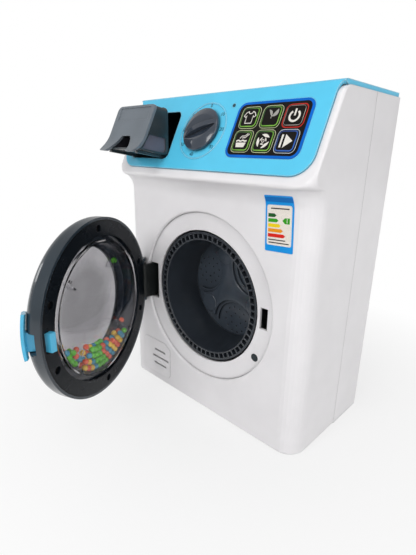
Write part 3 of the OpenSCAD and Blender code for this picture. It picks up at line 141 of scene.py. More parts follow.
def surfaceDetail(tree, shader, where, look):
    # moulding grain as bump on a softened edge, and a roughness that varies a little
    # gives back a painted edge highlight: the look's wear where the softened edge turns off the face, 0 on
    # flat faces
    plan, look = detailPlan, {**plainLook, **look}
    soft = addNode(tree, "ShaderNodeBevel", {"Radius": look["edge"] * mm}, samples=4).outputs["Normal"]
    grain = noise(tree, where, look["grain"], 3)
    bump = addNode(tree, "ShaderNodeBump", {"Height": grain, "Strength": look["depth"],
                                            "Distance": plan["bumpHeight"] * mm, "Normal": soft})
    tree.links.new(bump.outputs["Normal"], shader.inputs["Normal"])
    low, high = (look["roughness"] * (1 + side * plan["roughSpread"]) for side in (-1, 1))
    rough = ranged(tree, noise(tree, where, plan["cloud"], 3), *noiseSpan, low, high)
    tree.links.new(rough, shader.inputs["Roughness"])
    face = addNode(tree, "ShaderNodeNewGeometry").outputs["Normal"]
    turned = vectorMath(tree, "DOT_PRODUCT", soft, face, result="Value")
    return ranged(tree, turned, plan["flat"], plan["sharp"], 0, look["wear"])


def seamAt(tree, where, seam):
    # 1 in a narrow band at one distance from an axis, 0 elsewhere, such as the gap between two round parts
    out = vectorMath(tree, "SUBTRACT", where, seam["centre"])
    away = vectorMath(tree, "LENGTH", vectorMath(tree, "CROSS_PRODUCT", out, seam["axis"]), result="Value")
    off = numberMath(tree, "ABSOLUTE", numberMath(tree, "SUBTRACT", away, seam["r"]))
    return ranged(tree, off, seam["width"] * 0.4, seam["width"] * 0.6, 1, 0)


def plastic(name, look):
    material, tree, shader, where = newMaterial(name)
    look, plan = {**plainLook, **look}, creviceShadePlan
    colour, spread = look["colour"], look["mottle"]
    worn = surfaceDetail(tree, shader, where, look)
    base = mottled(tree, where, look["cloud"], colour, 1 - spread, 1 + spread)
    pale = [c + (255 - c) * look["pale"] for c in colour]
    # painted highlight: softened edges are mixed towards the paler colour
    base = mixed(tree, worn, base, linear(pale))
    if look.get("crevice"):  # painted shade: gaps and inner corners are drawn darker
        # how closed in the occlusion node finds a place sets how much painted shade it gets
        near = addNode(tree, "ShaderNodeAmbientOcclusion", {"Distance": plan["reach"] * mm}, samples=6)
        deep = ranged(tree, near.outputs["AO"], plan["closed"], plan["open"], look["crevice"], 0)
        base = mixed(tree, deep, base, tinted(colour, plan["shade"]))
    # painted shade: the narrow gap at the seam is drawn dark
    if look.get("seam"):
        base = mixed(tree, seamAt(tree, where, look["seam"]), base, tinted(colour, plan["seamShade"]))
    tree.links.new(base, shader.inputs["Base Color"])
    shader.inputs["Specular IOR Level"].default_value = look["specular"]
    shader.inputs["Coat Weight"].default_value = look["gloss"]
    shader.inputs["Coat Roughness"].default_value = look["glossRoughness"]
    if look.get("skin"):  # light goes a little way in
        shader.inputs["Subsurface Weight"].default_value = look["skin"]
        shader.inputs["Subsurface Radius"].default_value = skinPlan["radius"]
        shader.inputs["Subsurface Scale"].default_value = skinPlan["depth"] * mm
    return material


def clearPlastic(name, look):
    # lamps shine straight through it, with the plastic's own tint
    material, tree, shader, where = newMaterial(name)
    plan = clearPlan
    tint = mottled(tree, where, plan["cloud"], look["colour"], plan["dark"], plan["light"])
    if look.get("disc"):  # the flat middle is a shade darker
        shaded = tinted(look["colour"], look["discShade"])
        tint = mixed(tree, seamAt(tree, where, look["disc"]), tint, shaded)
    tree.links.new(tint, shader.inputs["Base Color"])
    ripple = addNode(tree, "ShaderNodeBump", {"Height": noise(tree, where, plan["ripple"], 2),
                                              "Strength": plan["rippleStrength"],
                                              "Distance": plan["rippleHeight"] * mm})
    tree.links.new(ripple.outputs["Normal"], shader.inputs["Normal"])
    shader.inputs["Roughness"].default_value = look["roughness"]
    shader.inputs["Transmission Weight"].default_value = 1.0
    shader.inputs["IOR"].default_value = look["bend"]
    through = addNode(tree, "ShaderNodeBsdfTransparent", {"Color": tint}).outputs["BSDF"]
    ray = addNode(tree, "ShaderNodeLightPath").outputs["Is Shadow Ray"]
    blend = addNode(tree, "ShaderNodeMixShader", {0: ray, 1: shader.outputs["BSDF"], 2: through})
    tree.links.new(blend.outputs["Shader"], tree.nodes["Material Output"].inputs["Surface"])
    return material


def metal(name, look):
    material, tree, shader, where = newMaterial(name)
    plan, colour = metalPlan, look["colour"]
    worn = surfaceDetail(tree, shader, where, look)
    base = mottled(tree, where, plan["cloud"], colour, plan["dark"], plan["light"], plan["cloudDetail"])
    # painted highlight: softened edges are drawn lighter
    tree.links.new(mixed(tree, worn, base, tinted(colour, plan["worn"])), shader.inputs["Base Color"])
    shader.inputs["Metallic"].default_value = look.get("metallic", 1.0)
    return material


def ink(name, colour, roughness=0.4):
    material, tree, shader, where = newMaterial(name)
    plan = inkPlan
    speck = ranged(tree, noise(tree, where, plan["speck"], 2), *noiseSpan, 0, 1)
    base = mixed(tree, speck, tinted(colour, plan["dark"]), tinted(colour, plan["light"]))
    tree.links.new(base, shader.inputs["Base Color"])
    low, high = (roughness * (1 + side * plan["roughSpread"]) for side in (-1, 1))
    tree.links.new(ranged(tree, speck, 0, 1, low, high), shader.inputs["Roughness"])
    shader.inputs["Specular IOR Level"].default_value = plan["specular"]
    return material


# The sloping panel's own frame: u across, v up the slope, n out of it. Its origin is on the lower edge.

panelPlace = dict(origin=(0.0, -66.515, 223.921), tilt=26.0)


def onPanel(u, v, n):  # origin + u across + v up the slope + n out of it
    t = math.radians(panelPlace["tilt"])
    x0, y0, z0 = panelPlace["origin"]
    y = y0 + v * math.sin(t) - n * math.cos(t)
    return np.stack([x0 + u, y, z0 + v * math.cos(t) + n * math.sin(t)], -1) * mm


def alongPanel(tree, where, centre):
    # the object's coordinates turned into the panel's, from centre and in metres, for a material
    t = math.radians(panelPlace["tilt"])
    turn = np.array([[1, 0, 0], [0, math.sin(t), math.cos(t)], [0, -math.cos(t), math.sin(t)]])
    shift = -turn @ (np.array(panelPlace["origin"]) * mm) - np.array([centre[0], centre[1], 0]) * mm
    return addNode(tree, "ShaderNodeMapping", {"Vector": where, "Location": shift,
                                               "Rotation": (t - math.pi / 2, 0, 0)}).outputs["Vector"]


# Helpers for surfaces

meshPlan = dict(merge=0.002, sliver=0.001)


def tidyMesh(mesh):  # points that meet are merged, slivers go, and the faces are turned outwards
    work = bmesh.new()
    work.from_mesh(mesh)
    bmesh.ops.remove_doubles(work, verts=work.verts, dist=meshPlan["merge"] * mm)
    bmesh.ops.dissolve_degenerate(work, edges=work.edges, dist=meshPlan["sliver"] * mm)
    bmesh.ops.recalc_face_normals(work, faces=work.faces)
    work.to_mesh(mesh)
    work.free()


def dress(name, mesh, material, body):  # makes the mesh a piece that rides on its body
    tidyMesh(mesh)
    piece = bpy.data.objects.new(name, mesh)
    scene.collection.objects.link(piece)
    mesh.materials.append(material)
    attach(piece, body)
    return piece


def smooth(piece, sharpFrom=180):  # edges that turn by more than sharpFrom stay sharp
    piece.data.shade_smooth()
    if sharpFrom < 180:
        piece.data.set_sharp_from_angle(angle=math.radians(sharpFrom))


def addSurface(name, grids, material, body):
    # a grid is rows of closed rings; each row joins the next, and the last joins the first if closed is true
    points, faces, start = [], [], 0
    for grid, closed in grids:
        if not closed:  # an end is closed by a ring drawn to its middle
            shape = (1,) + grid.shape[1:]
            first, last = (np.broadcast_to(end.mean(0), shape) for end in (grid[0], grid[-1]))
            grid = np.concatenate([first, grid, last])
        rows, cols = grid.shape[:2]
        i, j = np.meshgrid(np.arange(rows if closed else rows - 1), np.arange(cols), indexing="ij")
        i, j = i.ravel(), j.ravel()
        nextI, nextJ = (i + 1) % rows, (j + 1) % cols
        corners = [i * cols + j, i * cols + nextJ, nextI * cols + nextJ, nextI * cols + j]
        faces.append(start + np.stack(corners, 1))
        points.append(grid.reshape(-1, 3))
        start += rows * cols
    mesh = bpy.data.meshes.new(name)
    mesh.from_pydata(np.concatenate(points).tolist(), [], np.concatenate(faces).tolist())
    return dress(name, mesh, material, body)


def slab(left, right, low, high, place, closed=False):
    # a section is the rectangle from the left to the right edge curve and from low to high
    left, right = np.asarray(left, float), np.asarray(right, float)
    ring = [(left, low), (right, low), (right, high), (left, high)]
    return np.stack([place(c[:, 0], c[:, 1], np.full(len(c), float(h))) for c, h in ring], 1), closed


def roundedSquare(half, r, steps=6):
    # four quarter circles of radius r about the corners of the square that is r smaller
    a = np.radians(np.add.outer(np.array([0, 90, 180, 270]), np.linspace(0, 90, steps))).ravel()
    sideX, sideY = np.repeat([1, -1, -1, 1], steps), np.repeat([1, 1, -1, -1], steps)
    return np.stack([sideX * (half - r) + r * np.cos(a), sideY * (half - r) + r * np.sin(a)], 1)


def roundedPlate(x0, x1, y0, y1, r, steps=6, stations=24):
    # its two long edges; near an end an edge moves in by r (1 - sin a) while x moves on by r (1 - cos a)
    a = np.linspace(0, math.pi / 2, steps)
    middle = np.linspace(x0 + r, x1 - r, stations + 2)[1:-1]
    x = np.concatenate([x0 + r * (1 - np.cos(a)), middle, (x1 - r * (1 - np.cos(a)))[::-1]])
    cut = np.concatenate([r * (1 - np.sin(a)), 0 * middle, (r * (1 - np.sin(a)))[::-1]])
    return np.stack([x, y0 + cut], 1), np.stack([x, y1 - cut], 1)


def strokeSides(points, width, closed=False):
    # each point moves half the width both ways along the mean normal of its two segments, and further at
    # a corner, by the width's half over the cosine of half the turn, but never more than the full width
    p = np.asarray(points, float)
    before, after = np.roll(p, 1, 0), np.roll(p, -1, 0)
    if not closed:
        before[0], after[-1] = 2 * p[0] - p[1], 2 * p[-1] - p[-2]
    a, b = p - before, after - p
    a /= np.linalg.norm(a, axis=1)[:, None]
    b /= np.linalg.norm(b, axis=1)[:, None]
    side = np.stack([-a[:, 1], a[:, 0]], 1)
    mean = side + np.stack([-b[:, 1], b[:, 0]], 1)
    mean /= np.linalg.norm(mean, axis=1)[:, None]
    reach = width / 2 / np.maximum((mean * side).sum(1), 0.5)
    return p + mean * reach[:, None], p - mean * reach[:, None]


def arc(centre, r, start, end, steps=16):  # evenly spaced points on a circle, both ends among them
    a = np.radians(np.linspace(start, end, steps))
    return np.stack([centre[0] + r * np.cos(a), centre[1] + r * np.sin(a)], 1)


def addNumber(name, text, size, centre, low, high, place, material, body):
    # the letter form is meshed flat, then every point goes through place
    curve = bpy.data.curves.new(name, "FONT")
    curve.body = text
    curve.size = size
    curve.align_x = curve.align_y = "CENTER"
    curve.extrude = (high - low) / 2
    curve.resolution_u = 4
    flat = bpy.data.objects.new(name + "_flat", curve)
    scene.collection.objects.link(flat)
    bpy.context.view_layer.update()
    mesh = bpy.data.meshes.new_from_object(flat.evaluated_get(bpy.context.evaluated_depsgraph_get()))
    bpy.data.objects.remove(flat)
    co = np.zeros(len(mesh.vertices) * 3, np.float32)
    mesh.vertices.foreach_get("co", co)
    co = co.reshape(-1, 3).astype(float)
    placed = place(centre[0] + co[:, 0], centre[1] + co[:, 1], (low + high) / 2 + co[:, 2])
    mesh.vertices.foreach_set("co", placed.astype(np.float32).ravel())
    mesh.materials.clear()
    return dress(name, mesh, material, body)


# Finishes of the CAD nodes

spin = next(joint for joint in frame["joints"] if joint["child"] == "bowl")
doorAxis = dict(centre=tuple(spin["pos_m"]), axis=tuple(spin["axis"]))
# in these looks, wear and pale set a painted highlight on softened edges, and the crevice amount sets painted
# shade in gaps and inner corners
looks = {
    "whiteGloss": dict(colour=(238, 236, 238), roughness=0.3, grain=0.35, depth=0.04, gloss=0.25, edge=0.8,
                       mottle=0.006, wear=0.0, crevice=0.45),
    "panelBlue": dict(colour=(88, 205, 243), roughness=0.32, grain=0.3, depth=0.04, gloss=0.3, edge=1.6,
                      mottle=0.01, wear=0.8, pale=0.7, crevice=0.6),
    "handleBlue": dict(colour=(84, 188, 228), roughness=0.26, grain=0.3, depth=0.05, gloss=0.3, edge=0.6),
    "doorSlate": dict(colour=(40, 50, 58), roughness=0.2, grain=0.3, depth=0.03, gloss=0.35, edge=0.5,
                      mottle=0.04, specular=0.35, glossRoughness=0.05),
    # ringSlate's seam is painted shade in the gap round the ring
    "ringSlate": dict(colour=(16, 21, 26), roughness=0.26, grain=0.3, depth=0.04, gloss=0.04, edge=0.5,
                      mottle=0.05, specular=0.14, seam=dict(doorAxis, r=73.0 * mm, width=0.9 * mm)),
    "drumCharcoal": dict(colour=(44, 49, 56), roughness=0.3, grain=0.4, depth=0.05, edge=0.7, mottle=0.04,
                         specular=0.4, wear=0.8, pale=0.4, gloss=0.1),
    "drumFloor": dict(colour=(64, 72, 82), roughness=0.24, grain=0.4, depth=0.05, edge=0.8, mottle=0.05,
                      specular=0.5, wear=0.3, gloss=0.2, crevice=0.8),
    "drawerSlate": dict(colour=(106, 114, 122), roughness=0.3, grain=0.4, depth=0.05, gloss=0.15, edge=0.7,
                        mottle=0.03, wear=0.2),
    "trayGrey": dict(colour=(42, 50, 54), roughness=0.3, grain=0.4, depth=0.05, edge=0.5, mottle=0.05,
                     wear=0.3, gloss=0.2),
    "trayLining": dict(colour=(92, 90, 102), roughness=0.4, grain=0.4, depth=0.06, edge=0.2, mottle=0.06),
    "knobSlate": dict(colour=(50, 58, 70), roughness=0.16, grain=0.25, depth=0.03, gloss=0.6, edge=0.5,
                      mottle=0.04, wear=0.3, glossRoughness=0.04, crevice=0.6),
    "keyBlack": dict(colour=(17, 13, 10), roughness=0.34, grain=0.25, depth=0.04, edge=0.25, mottle=0.12,
                     specular=0.15, wear=0.05),
    "guideBlack": dict(colour=(34, 44, 50), roughness=0.42, grain=0.4, edge=0.4, mottle=0.08, specular=0.3),
    "darkPlastic": dict(colour=(24, 27, 28), roughness=0.4, grain=0.4, edge=0.4, mottle=0.06,
                        specular=0.35),
    "innerWhite": dict(colour=(218, 218, 216), roughness=0.45, depth=0.1, edge=0.3, mottle=0.03),
    "milkyRubber": dict(colour=(212, 212, 206), roughness=0.6, grain=0.3, depth=0.15, edge=0.3, mottle=0.05,
                        skin=0.3),
    "lampDark": dict(colour=(30, 70, 82), roughness=0.15, grain=0.2, depth=0.05, edge=0.2, mottle=0.1,
                     gloss=0.5),
    "labelBlue": dict(colour=(0, 150, 232), roughness=0.4, grain=0.3, depth=0.05, edge=0.1, mottle=0.02),
}
beadLook = dict(roughness=0.22, grain=1.2, depth=0.1, edge=0.1, mottle=0.08, skin=0.2)
beadColours = dict(beadGreen=(92, 186, 32), beadCoral=(228, 96, 60), beadYellow=(232, 188, 56),
                   beadTeal=(58, 142, 166))
clearLooks = {
    "windowClear": dict(colour=(196, 194, 193), roughness=0.02, bend=1.2, discShade=0.84,
                        disc=dict(doorAxis, r=0.0, width=68 * mm)),
    "bowlClear": dict(colour=(238, 238, 241), roughness=0.02, bend=1.3),
}
metalLooks = {
    "screwSteel": dict(colour=(196, 196, 198), roughness=0.3, grain=0.2, depth=0.1, edge=0.15),
    "screwDark": dict(colour=(26, 24, 24), roughness=0.4, grain=0.2, depth=0.15, edge=0.15, metallic=0.6),
    "contactBrass": dict(colour=(202, 178, 120), roughness=0.32, grain=0.2, depth=0.1, edge=0.1),
}
finishNodes = {
    "whiteGloss": ["front_shell", "rear_shell", "door_ring", "battery_door"],
    "panelBlue": ["control_panel"],
    "handleBlue": ["latch_lever"],
    "doorSlate": ["door_outer"],
    "ringSlate": ["door_inner_ring"],
    "drumCharcoal": ["drum_barrel"],
    "drumFloor": ["drum_floor"],
    "drawerSlate": ["drawer_front"],
    "trayGrey": ["drawer_tray"],
    "knobSlate": ["knob"],
    "keyBlack": ["key_shirt", "key_leaf", "key_power", "key_basin", "key_swirl", "key_start"],
    "guideBlack": ["drawer_sleeve", "door_plunger"],
    "darkPlastic": ["hinge_bracket", "speaker", "door_switch", "dial_switch", "knob_shaft", "motor_pinion"],
    "innerWhite": ["tub_bulkhead", "battery_box", "drum_gear"],
    "milkyRubber": ["key_mat"],
    "beadGreen": ["beads_green"],
    "beadCoral": ["beads_coral"],
    "beadYellow": ["beads_yellow"],
    "beadTeal": ["beads_blue"],
    "lampDark": ["lamp_lens"],
    "labelBlue": ["energy_label"],
    "windowClear": ["window_lens"],
    "bowlClear": ["bead_bowl", "bowl_cover"],
    "screwSteel": ["hinge_screws", "hinge_pin", "latch_pin", "latch_spring", "plunger_spring",
                   "board_screws", "drum_shaft", "shaft_screw", "drum_bearing", "bulkhead_screws", "motor",
                   "motor_bracket", "battery_door_screw", "case_screws"],
    "screwDark": ["door_screws"],
    "contactBrass": ["battery_contacts"],
}
finishes = {}
dressed = set()


def wear(node, material):
    dressed.add(node)
    for place in nodes[node].material_slots:
        place.material = material


for name, colour in beadColours.items():
    looks[name] = dict(beadLook, colour=colour)
for group, maker in ((looks, plastic), (clearLooks, clearPlastic), (metalLooks, metal)):
    for name, look in group.items():
        finishes[name] = maker(name, look)
for name, members in finishNodes.items():
    for node in members:
        wear(node, finishes[name])
inkWhite = ink("inkWhite", (234, 230, 222))
inkGrey = ink("inkGrey", (168, 166, 160))

# Key overlay, circuit board and battery cells

overlayLook = dict(field=(24.8, 90.2, 11.8, 55.4), corner=7.0, border=1.9, soft=0.05, colour=(17, 13, 10),
                   tints=(0.9, 1.15), borderColour=(4, 104, 206), borderTints=(0.96, 1.04), cloud=14,
                   roughness=0.34, grain=0.3, depth=0.03, edge=0.2, specular=0.15)
boardLook = dict(colour=(28, 108, 58), otherTint=0.9, tracks=(96, 168, 96), roughness=0.35, edge=0.2,
                 trackWidth=0.25, trackLength=7, trackPitch=2.2)
cellLook = dict(wrap=(60, 104, 168), tip=(196, 198, 202), tints=(0.95, 1.05), cloud=10, roughness=0.3,
                metallic=0.5, edge=0.3, tipShare=0.25, soft=0.1)


def overlayPrint(name, look):
    # the length of max(|p| - (half - r), 0) is r all along the edge of a rectangle with corners of radius r
    # the border is where that length is more than r less the border's width
    material, tree, shader, where = newMaterial(name)
    surfaceDetail(tree, shader, where, look)
    u0, u1, v0, v1 = look["field"]
    half = np.array([(u1 - u0) / 2, (v1 - v0) / 2]) - look["corner"]
    at = alongPanel(tree, where, ((u0 + u1) / 2, (v0 + v1) / 2))
    beyond = vectorMath(tree, "SUBTRACT", vectorMath(tree, "ABSOLUTE", at), (half[0] * mm, half[1] * mm, 1))
    reach = vectorMath(tree, "LENGTH", vectorMath(tree, "MAXIMUM", beyond, (0, 0, 0)), result="Value")
    edge, soft = (look["corner"] - look["border"]) * mm, look["soft"] * mm
    black = mottled(tree, where, look["cloud"], look["colour"], *look["tints"])
    blue = mottled(tree, where, look["cloud"], look["borderColour"], *look["borderTints"])
    base = mixed(tree, ranged(tree, reach, edge - soft, edge + soft, 0, 1), black, blue)
    tree.links.new(base, shader.inputs["Base Color"])
    shader.inputs["Specular IOR Level"].default_value = look["specular"]
    return material


def boardMask(name, look):
    # solder mask with copper tracks showing as lighter lines of a brick pattern
    material, tree, shader, where = newMaterial(name)
    surfaceDetail(tree, shader, where, look)
    tracks = addNode(tree, "ShaderNodeTexBrick", {
        "Vector": alongPanel(tree, where, (0, 0)), "Scale": 1.0, "Mortar Size": look["trackWidth"] * mm,
        "Brick Width": look["trackLength"] * mm, "Row Height": look["trackPitch"] * mm,
        "Color1": linear(look["colour"]), "Color2": tinted(look["colour"], look["otherTint"]),
        "Mortar": linear(look["tracks"])})
    tree.links.new(tracks.outputs["Color"], shader.inputs["Base Color"])
    return material


def cellWrap(name, look):
    # a cell's coloured wrap and its bare end, parted at a share of the cells' length
    material, tree, shader, where = newMaterial(name)
    surfaceDetail(tree, shader, where, look)
    low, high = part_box("battery_cells")
    parting = high.x - look["tipShare"] * (high.x - low.x)
    along = addNode(tree, "ShaderNodeSeparateXYZ", {"Vector": where}).outputs["X"]
    tone = ranged(tree, along, parting - look["soft"] * mm, parting + look["soft"] * mm, 0, 1)
    wrap, tip = (mottled(tree, where, look["cloud"], look[part], *look["tints"]) for part in ("wrap", "tip"))
    tree.links.new(mixed(tree, tone, wrap, tip), shader.inputs["Base Color"])
    shader.inputs["Metallic"].default_value = look["metallic"]
    return material


wear("key_overlay", overlayPrint("overlayInk", overlayLook))
wear("circuit_board", boardMask("boardMask", boardLook))
wear("battery_cells", cellWrap("cellWrap", cellLook))
print("stage: finishes on CAD nodes; none left bare:", sorted(set(nodes) - dressed))

# Printing on the keys

keyPlan = dict(first=(38.5, 24.3), pitch=(19.35, 18.5), top=0.9, overlayTop=0.4, sink=0.05, proud=0.07,
               bandR=(2.9, 2.1), lineR=(3.9, 3.4), fade=(-9, 7), speck=0.6, speckShade=0.08, roughness=0.35)
keyLooks = {
    "green": dict(outer=(8.7, 8.3), band=(7.55, 6.65), line=(206, 214, 170), dark=(34, 78, 22),
                  light=(120, 178, 62)),
    "red": dict(outer=(8.75, 8.05), band=(7.3, 6.95), line=(196, 40, 30), dark=(150, 132, 124),
                light=(196, 184, 176)),
    "blue": dict(outer=(8.7, 8.3), band=(7.55, 6.65), line=(206, 216, 226), dark=(20, 52, 112),
                 light=(40, 96, 186)),
}


def shadedPrint(name, look, centre):
    # ink that turns from a dark to a light tone towards the lower right of its key
    material, tree, shader, where = newMaterial(name)
    parts = addNode(tree, "ShaderNodeSeparateXYZ", {"Vector": alongPanel(tree, where, centre)}).outputs
    plan = keyPlan
    start, end = plan["fade"]
    tone = ranged(tree, numberMath(tree, "SUBTRACT", parts["X"], parts["Y"]), start * mm, end * mm, 0, 1)
    speck = ranged(tree, noise(tree, where, plan["speck"], 2), *noiseSpan, 0, plan["speckShade"])
    base = mixed(tree, tone, linear(look["dark"]), linear(look["light"]))
    tree.links.new(mixed(tree, speck, base, (0, 0, 0, 1)), shader.inputs["Base Color"])
    shader.inputs["Roughness"].default_value = plan["roughness"]
    return material


def mirrored(points):  # the same points again, mirrored left to right, in the reverse order
    return points + [(-x, y) for x, y in reversed(points) if x != 0]


def leafEdges(base, tip, belly, lean):
    # from base to tip each edge bulges by belly sin(pi s)^0.8, and both bend aside by 4 lean s (1 - s)
    s = np.linspace(0, 1, 12)
    base, tip = np.array(base), np.array(tip)
    side = np.array([-(tip - base)[1], (tip - base)[0]]) / np.linalg.norm(tip - base)
    middle = base + np.outer(s, tip - base) + np.outer(lean * 4 * s * (1 - s), side)
    width = np.outer(belly * np.sin(np.pi * s) ** 0.8, side)
    return middle + width, middle - width


def crescentEdges(angle, r, thick, sweep):
    # the outer edge is an arc of radius r, and the inner edge dips under it by thick sin(pi s)^0.7
    s = np.linspace(0, 1, 14)
    a = np.radians(angle + sweep * s)
    ray = np.stack([np.cos(a), np.sin(a)], 1)
    return ray * r, ray * (r - thick * np.sin(np.pi * s) ** 0.7)[:, None]


# Each picture is a list of strokes: the two edge curves, and whether they close on themselves.

def shirtArt():
    half = [(0, 2.9), (1.3, 3.2), (2.0, 4.6), (3.9, 3.7), (5.4, 1.3), (3.9, 0.1), (3.0, 1.2), (2.9, -4.6)]
    return [(strokeSides(mirrored(half), 0.62, True), True)]


def leafArt():
    stalk = strokeSides([(0.2, -1.5), (0.2, -0.3), (0.8, 0.8)], 0.6)
    return [(leafEdges((0.2, 0.0), (-3.0, 5.2), 1.0, -0.7), False),
            (leafEdges((0.6, -0.1), (4.8, 5.6), 1.5, -1.0), False), (stalk, False)]


def powerArt():
    return [(strokeSides(arc((0, -0.4), 3.85, 125, 415, 36), 1.5), False),
            (strokeSides([(0, -0.2), (0, 4.9)], 1.35), False)]


def basinArt():  # the water is a sine wave in an open tub, with a hand over it
    x = np.linspace(-5.1, 4.6, 14)
    water = strokeSides(np.stack([x, 0.15 + 0.35 * np.sin(x * 1.5)], 1), 1.1)
    tub = np.array([(-4.0, -4.9), (-4.9, -1.3)]), np.array([(3.4, -4.9), (4.4, -1.3)])
    handLow = strokeSides([(5.4, 5.4), (2.4, 2.6), (-0.4, 2.3)], 0.6)
    handHigh = strokeSides([(4.0, 5.8), (1.9, 3.9), (-1.0, 3.8), (-2.4, 2.0)], 0.6)
    return [(tub, False), (water, False), (handLow, False), (handHigh, False)]


def swirlArt():
    parts = [(crescentEdges(a, 5.4, 2.3, 88), False) for a in (28, 148, 268)]
    parts += [(crescentEdges(a, 2.9, 1.1, 70), False) for a in (-10, 110, 230)]
    return parts + [(strokeSides(arc((0, 0), 1.05, 0, 345, 18), 0.5, True), True)]


def startArt():
    arrow = np.array([(-1.5, -4.9), (4.9, 0.0)]), np.array([(-1.5, 4.9), (4.9, 0.0)])
    return [(strokeSides([(-3.9, -4.7), (-3.9, 4.7)], 1.5), False), (arrow, False)]


keyArt = {
    "basin": ((0, 0), "green", basinArt), "swirl": ((1, 0), "green", swirlArt),
    "start": ((2, 0), "blue", startArt), "shirt": ((0, 1), "green", shirtArt),
    "leaf": ((1, 1), "green", leafArt), "power": ((2, 1), "red", powerArt),
}


def addKeyPrint(key, cell, tone, art):
    plan, look, body = keyPlan, keyLooks[tone], "key_" + key + "_cap"
    centre = [plan["first"][k] + plan["pitch"][k] * cell[k] for k in (0, 1)]

    def onKey(u, v, n):
        return onPanel(centre[0] + u, centre[1] + v, n)

    def printed(left, right, top, closed):
        return slab(left, right, top - plan["sink"], top + plan["proud"], onKey, closed)

    def squareLine(halves, radii, top):
        outer, inner = (roundedSquare(half, r) for half, r in zip(halves, radii))
        return [printed(outer, inner, top, True)]

    strokes = [printed(left, right, plan["top"], closed) for (left, right), closed in art()]
    addSurface("print_" + key, strokes, inkGrey if key == "leaf" else inkWhite, body)
    addSurface("band_" + key, squareLine(look["band"], plan["bandR"], plan["top"]),
               shadedPrint("band_" + key, look, centre), body)
    addSurface("line_" + key, squareLine(look["outer"], plan["lineR"], plan["overlayTop"]),
               ink("line_" + key, look["line"]), "cabinet")


for key, (cell, tone, art) in keyArt.items():
    addKeyPrint(key, cell, tone, art)
print("stage: key printing")

# Dial

dialPlan = dict(centre=(-7.4, 33.7), ringR=24.0, ringWidth=1.5, ringHeight=0.45, ringSteps=(120, 12),
                numberSize=4.2, numberLow=-0.04, numberHigh=0.08, colour=(10, 48, 66),
                numbers=[("0", 87, 21.6), ("10", 39, 21.4), ("20", 2, 20.8), ("30", -42, 20.8),
                         ("40", -100, 20.9), ("50", -147, 22.2), ("60", 177, 22.0), ("70", 140, 21.6)])
knobPlan = dict(r=18.1, low=0.4, rim=3.0, high=7.0, turn=22.0, blade=1.9, bladeWall=0.35, midWall=0.18,
                bladeEdge=0.2, scoopWide=8.6, scoopLong=16.6, deep=4.0, edge=0.7, skirt=0.9, foot=0.5,
                rimAngles=(0.06, 1.1), evenFrom=8.0, sharpFrom=32,  # rimAngles are in radians
                rimRows=26, evenRows=22, bladeRows=6, pointsAcross=72)


def dialRing(plan):
    # a flat ellipse carried round a circle of radius ringR, half of it above the panel
    a, b = (np.linspace(0, 2 * math.pi, steps, endpoint=False) for steps in plan["ringSteps"])
    r = plan["ringR"] + plan["ringWidth"] / 2 * np.cos(b)
    u = plan["centre"][0] + np.outer(np.cos(a), r)
    v = plan["centre"][1] + np.outer(np.sin(a), r)
    return onPanel(u, v, np.broadcast_to(plan["ringHeight"] * np.sin(b), u.shape)), True


def knobRows(plan):
    # distances from the blade's middle: -r cos(angle) near the rim, then even steps to the foot of the
    # blade's wall, the wall's middle and top, a few on the blade, and all of it mirrored
    blade = plan["blade"]
    rim = -plan["r"] * np.cos(np.linspace(*plan["rimAngles"], plan["rimRows"]))
    scoop = -np.linspace(plan["evenFrom"], blade + plan["bladeWall"], plan["evenRows"])
    half = np.concatenate([[-plan["r"]], rim, scoop, [-blade - plan["midWall"], -blade]])
    inner = blade - plan["bladeEdge"]
    return np.concatenate([half, np.linspace(-inner, inner, plan["bladeRows"]), -half[::-1]])


def knobCap(plan):
    # rows across the blade at q, each a closed ring: over the dome from rim to rim, then back along the foot
    # dome: a sphere through the rim and the top
    # scoop: it drops by deep (1 - (p / long)^2)^0.7 beside the blade, and rises evenly to its outer edge
    # the outer edge lies wide (1 - (p / long)^2) from the blade
    r, blade = plan["r"], plan["blade"]
    q = knobRows(plan)
    away = np.abs(q)[:, None]
    turn = np.linspace(-math.pi / 2, math.pi / 2, plan["pointsAcross"])
    p = np.outer(np.sqrt(np.maximum(r * r - q * q, 0)), np.sin(turn))
    out = np.sqrt(p * p + away * away)
    rise = plan["high"] - plan["rim"]
    ball = (r * r + rise * rise) / (2 * rise)
    top = plan["high"] - ball + np.sqrt(ball * ball - np.minimum(out, r) ** 2)
    rounded = np.clip((out - (r - plan["edge"])) / plan["edge"], 0, 1)
    top = top - plan["edge"] * (1 - np.sqrt(1 - rounded ** 2))
    reach = np.clip(1 - (p / plan["scoopLong"]) ** 2, 0, 1)
    across = (away - blade) / np.maximum(plan["scoopWide"] * reach, 1e-6)
    inside = (across > 0) & (across < 1) & (reach > 0)
    wall = np.clip((away - blade) / plan["bladeWall"], 0, 1)
    top = np.where(inside, top - plan["deep"] * reach ** 0.7 * (1 - np.clip(across, 0, 1)) * wall, top)
    foot = np.zeros((len(q), 1))
    height = np.concatenate([foot, foot + plan["skirt"], top, foot + plan["skirt"], foot], 1)
    shrunk = 1 - plan["foot"] / r
    p = np.concatenate([p[:, :1] * shrunk, p[:, :1], p, p[:, -1:], p[:, -1:] * shrunk], 1)
    side = np.broadcast_to(q[:, None], p.shape).copy()
    side[:, [0, -1]] *= shrunk
    a = math.radians(plan["turn"])
    u = dialPlan["centre"][0] + p * math.cos(a) - side * math.sin(a)
    v = dialPlan["centre"][1] + p * math.sin(a) + side * math.cos(a)
    return onPanel(u, v, plan["low"] + height), False


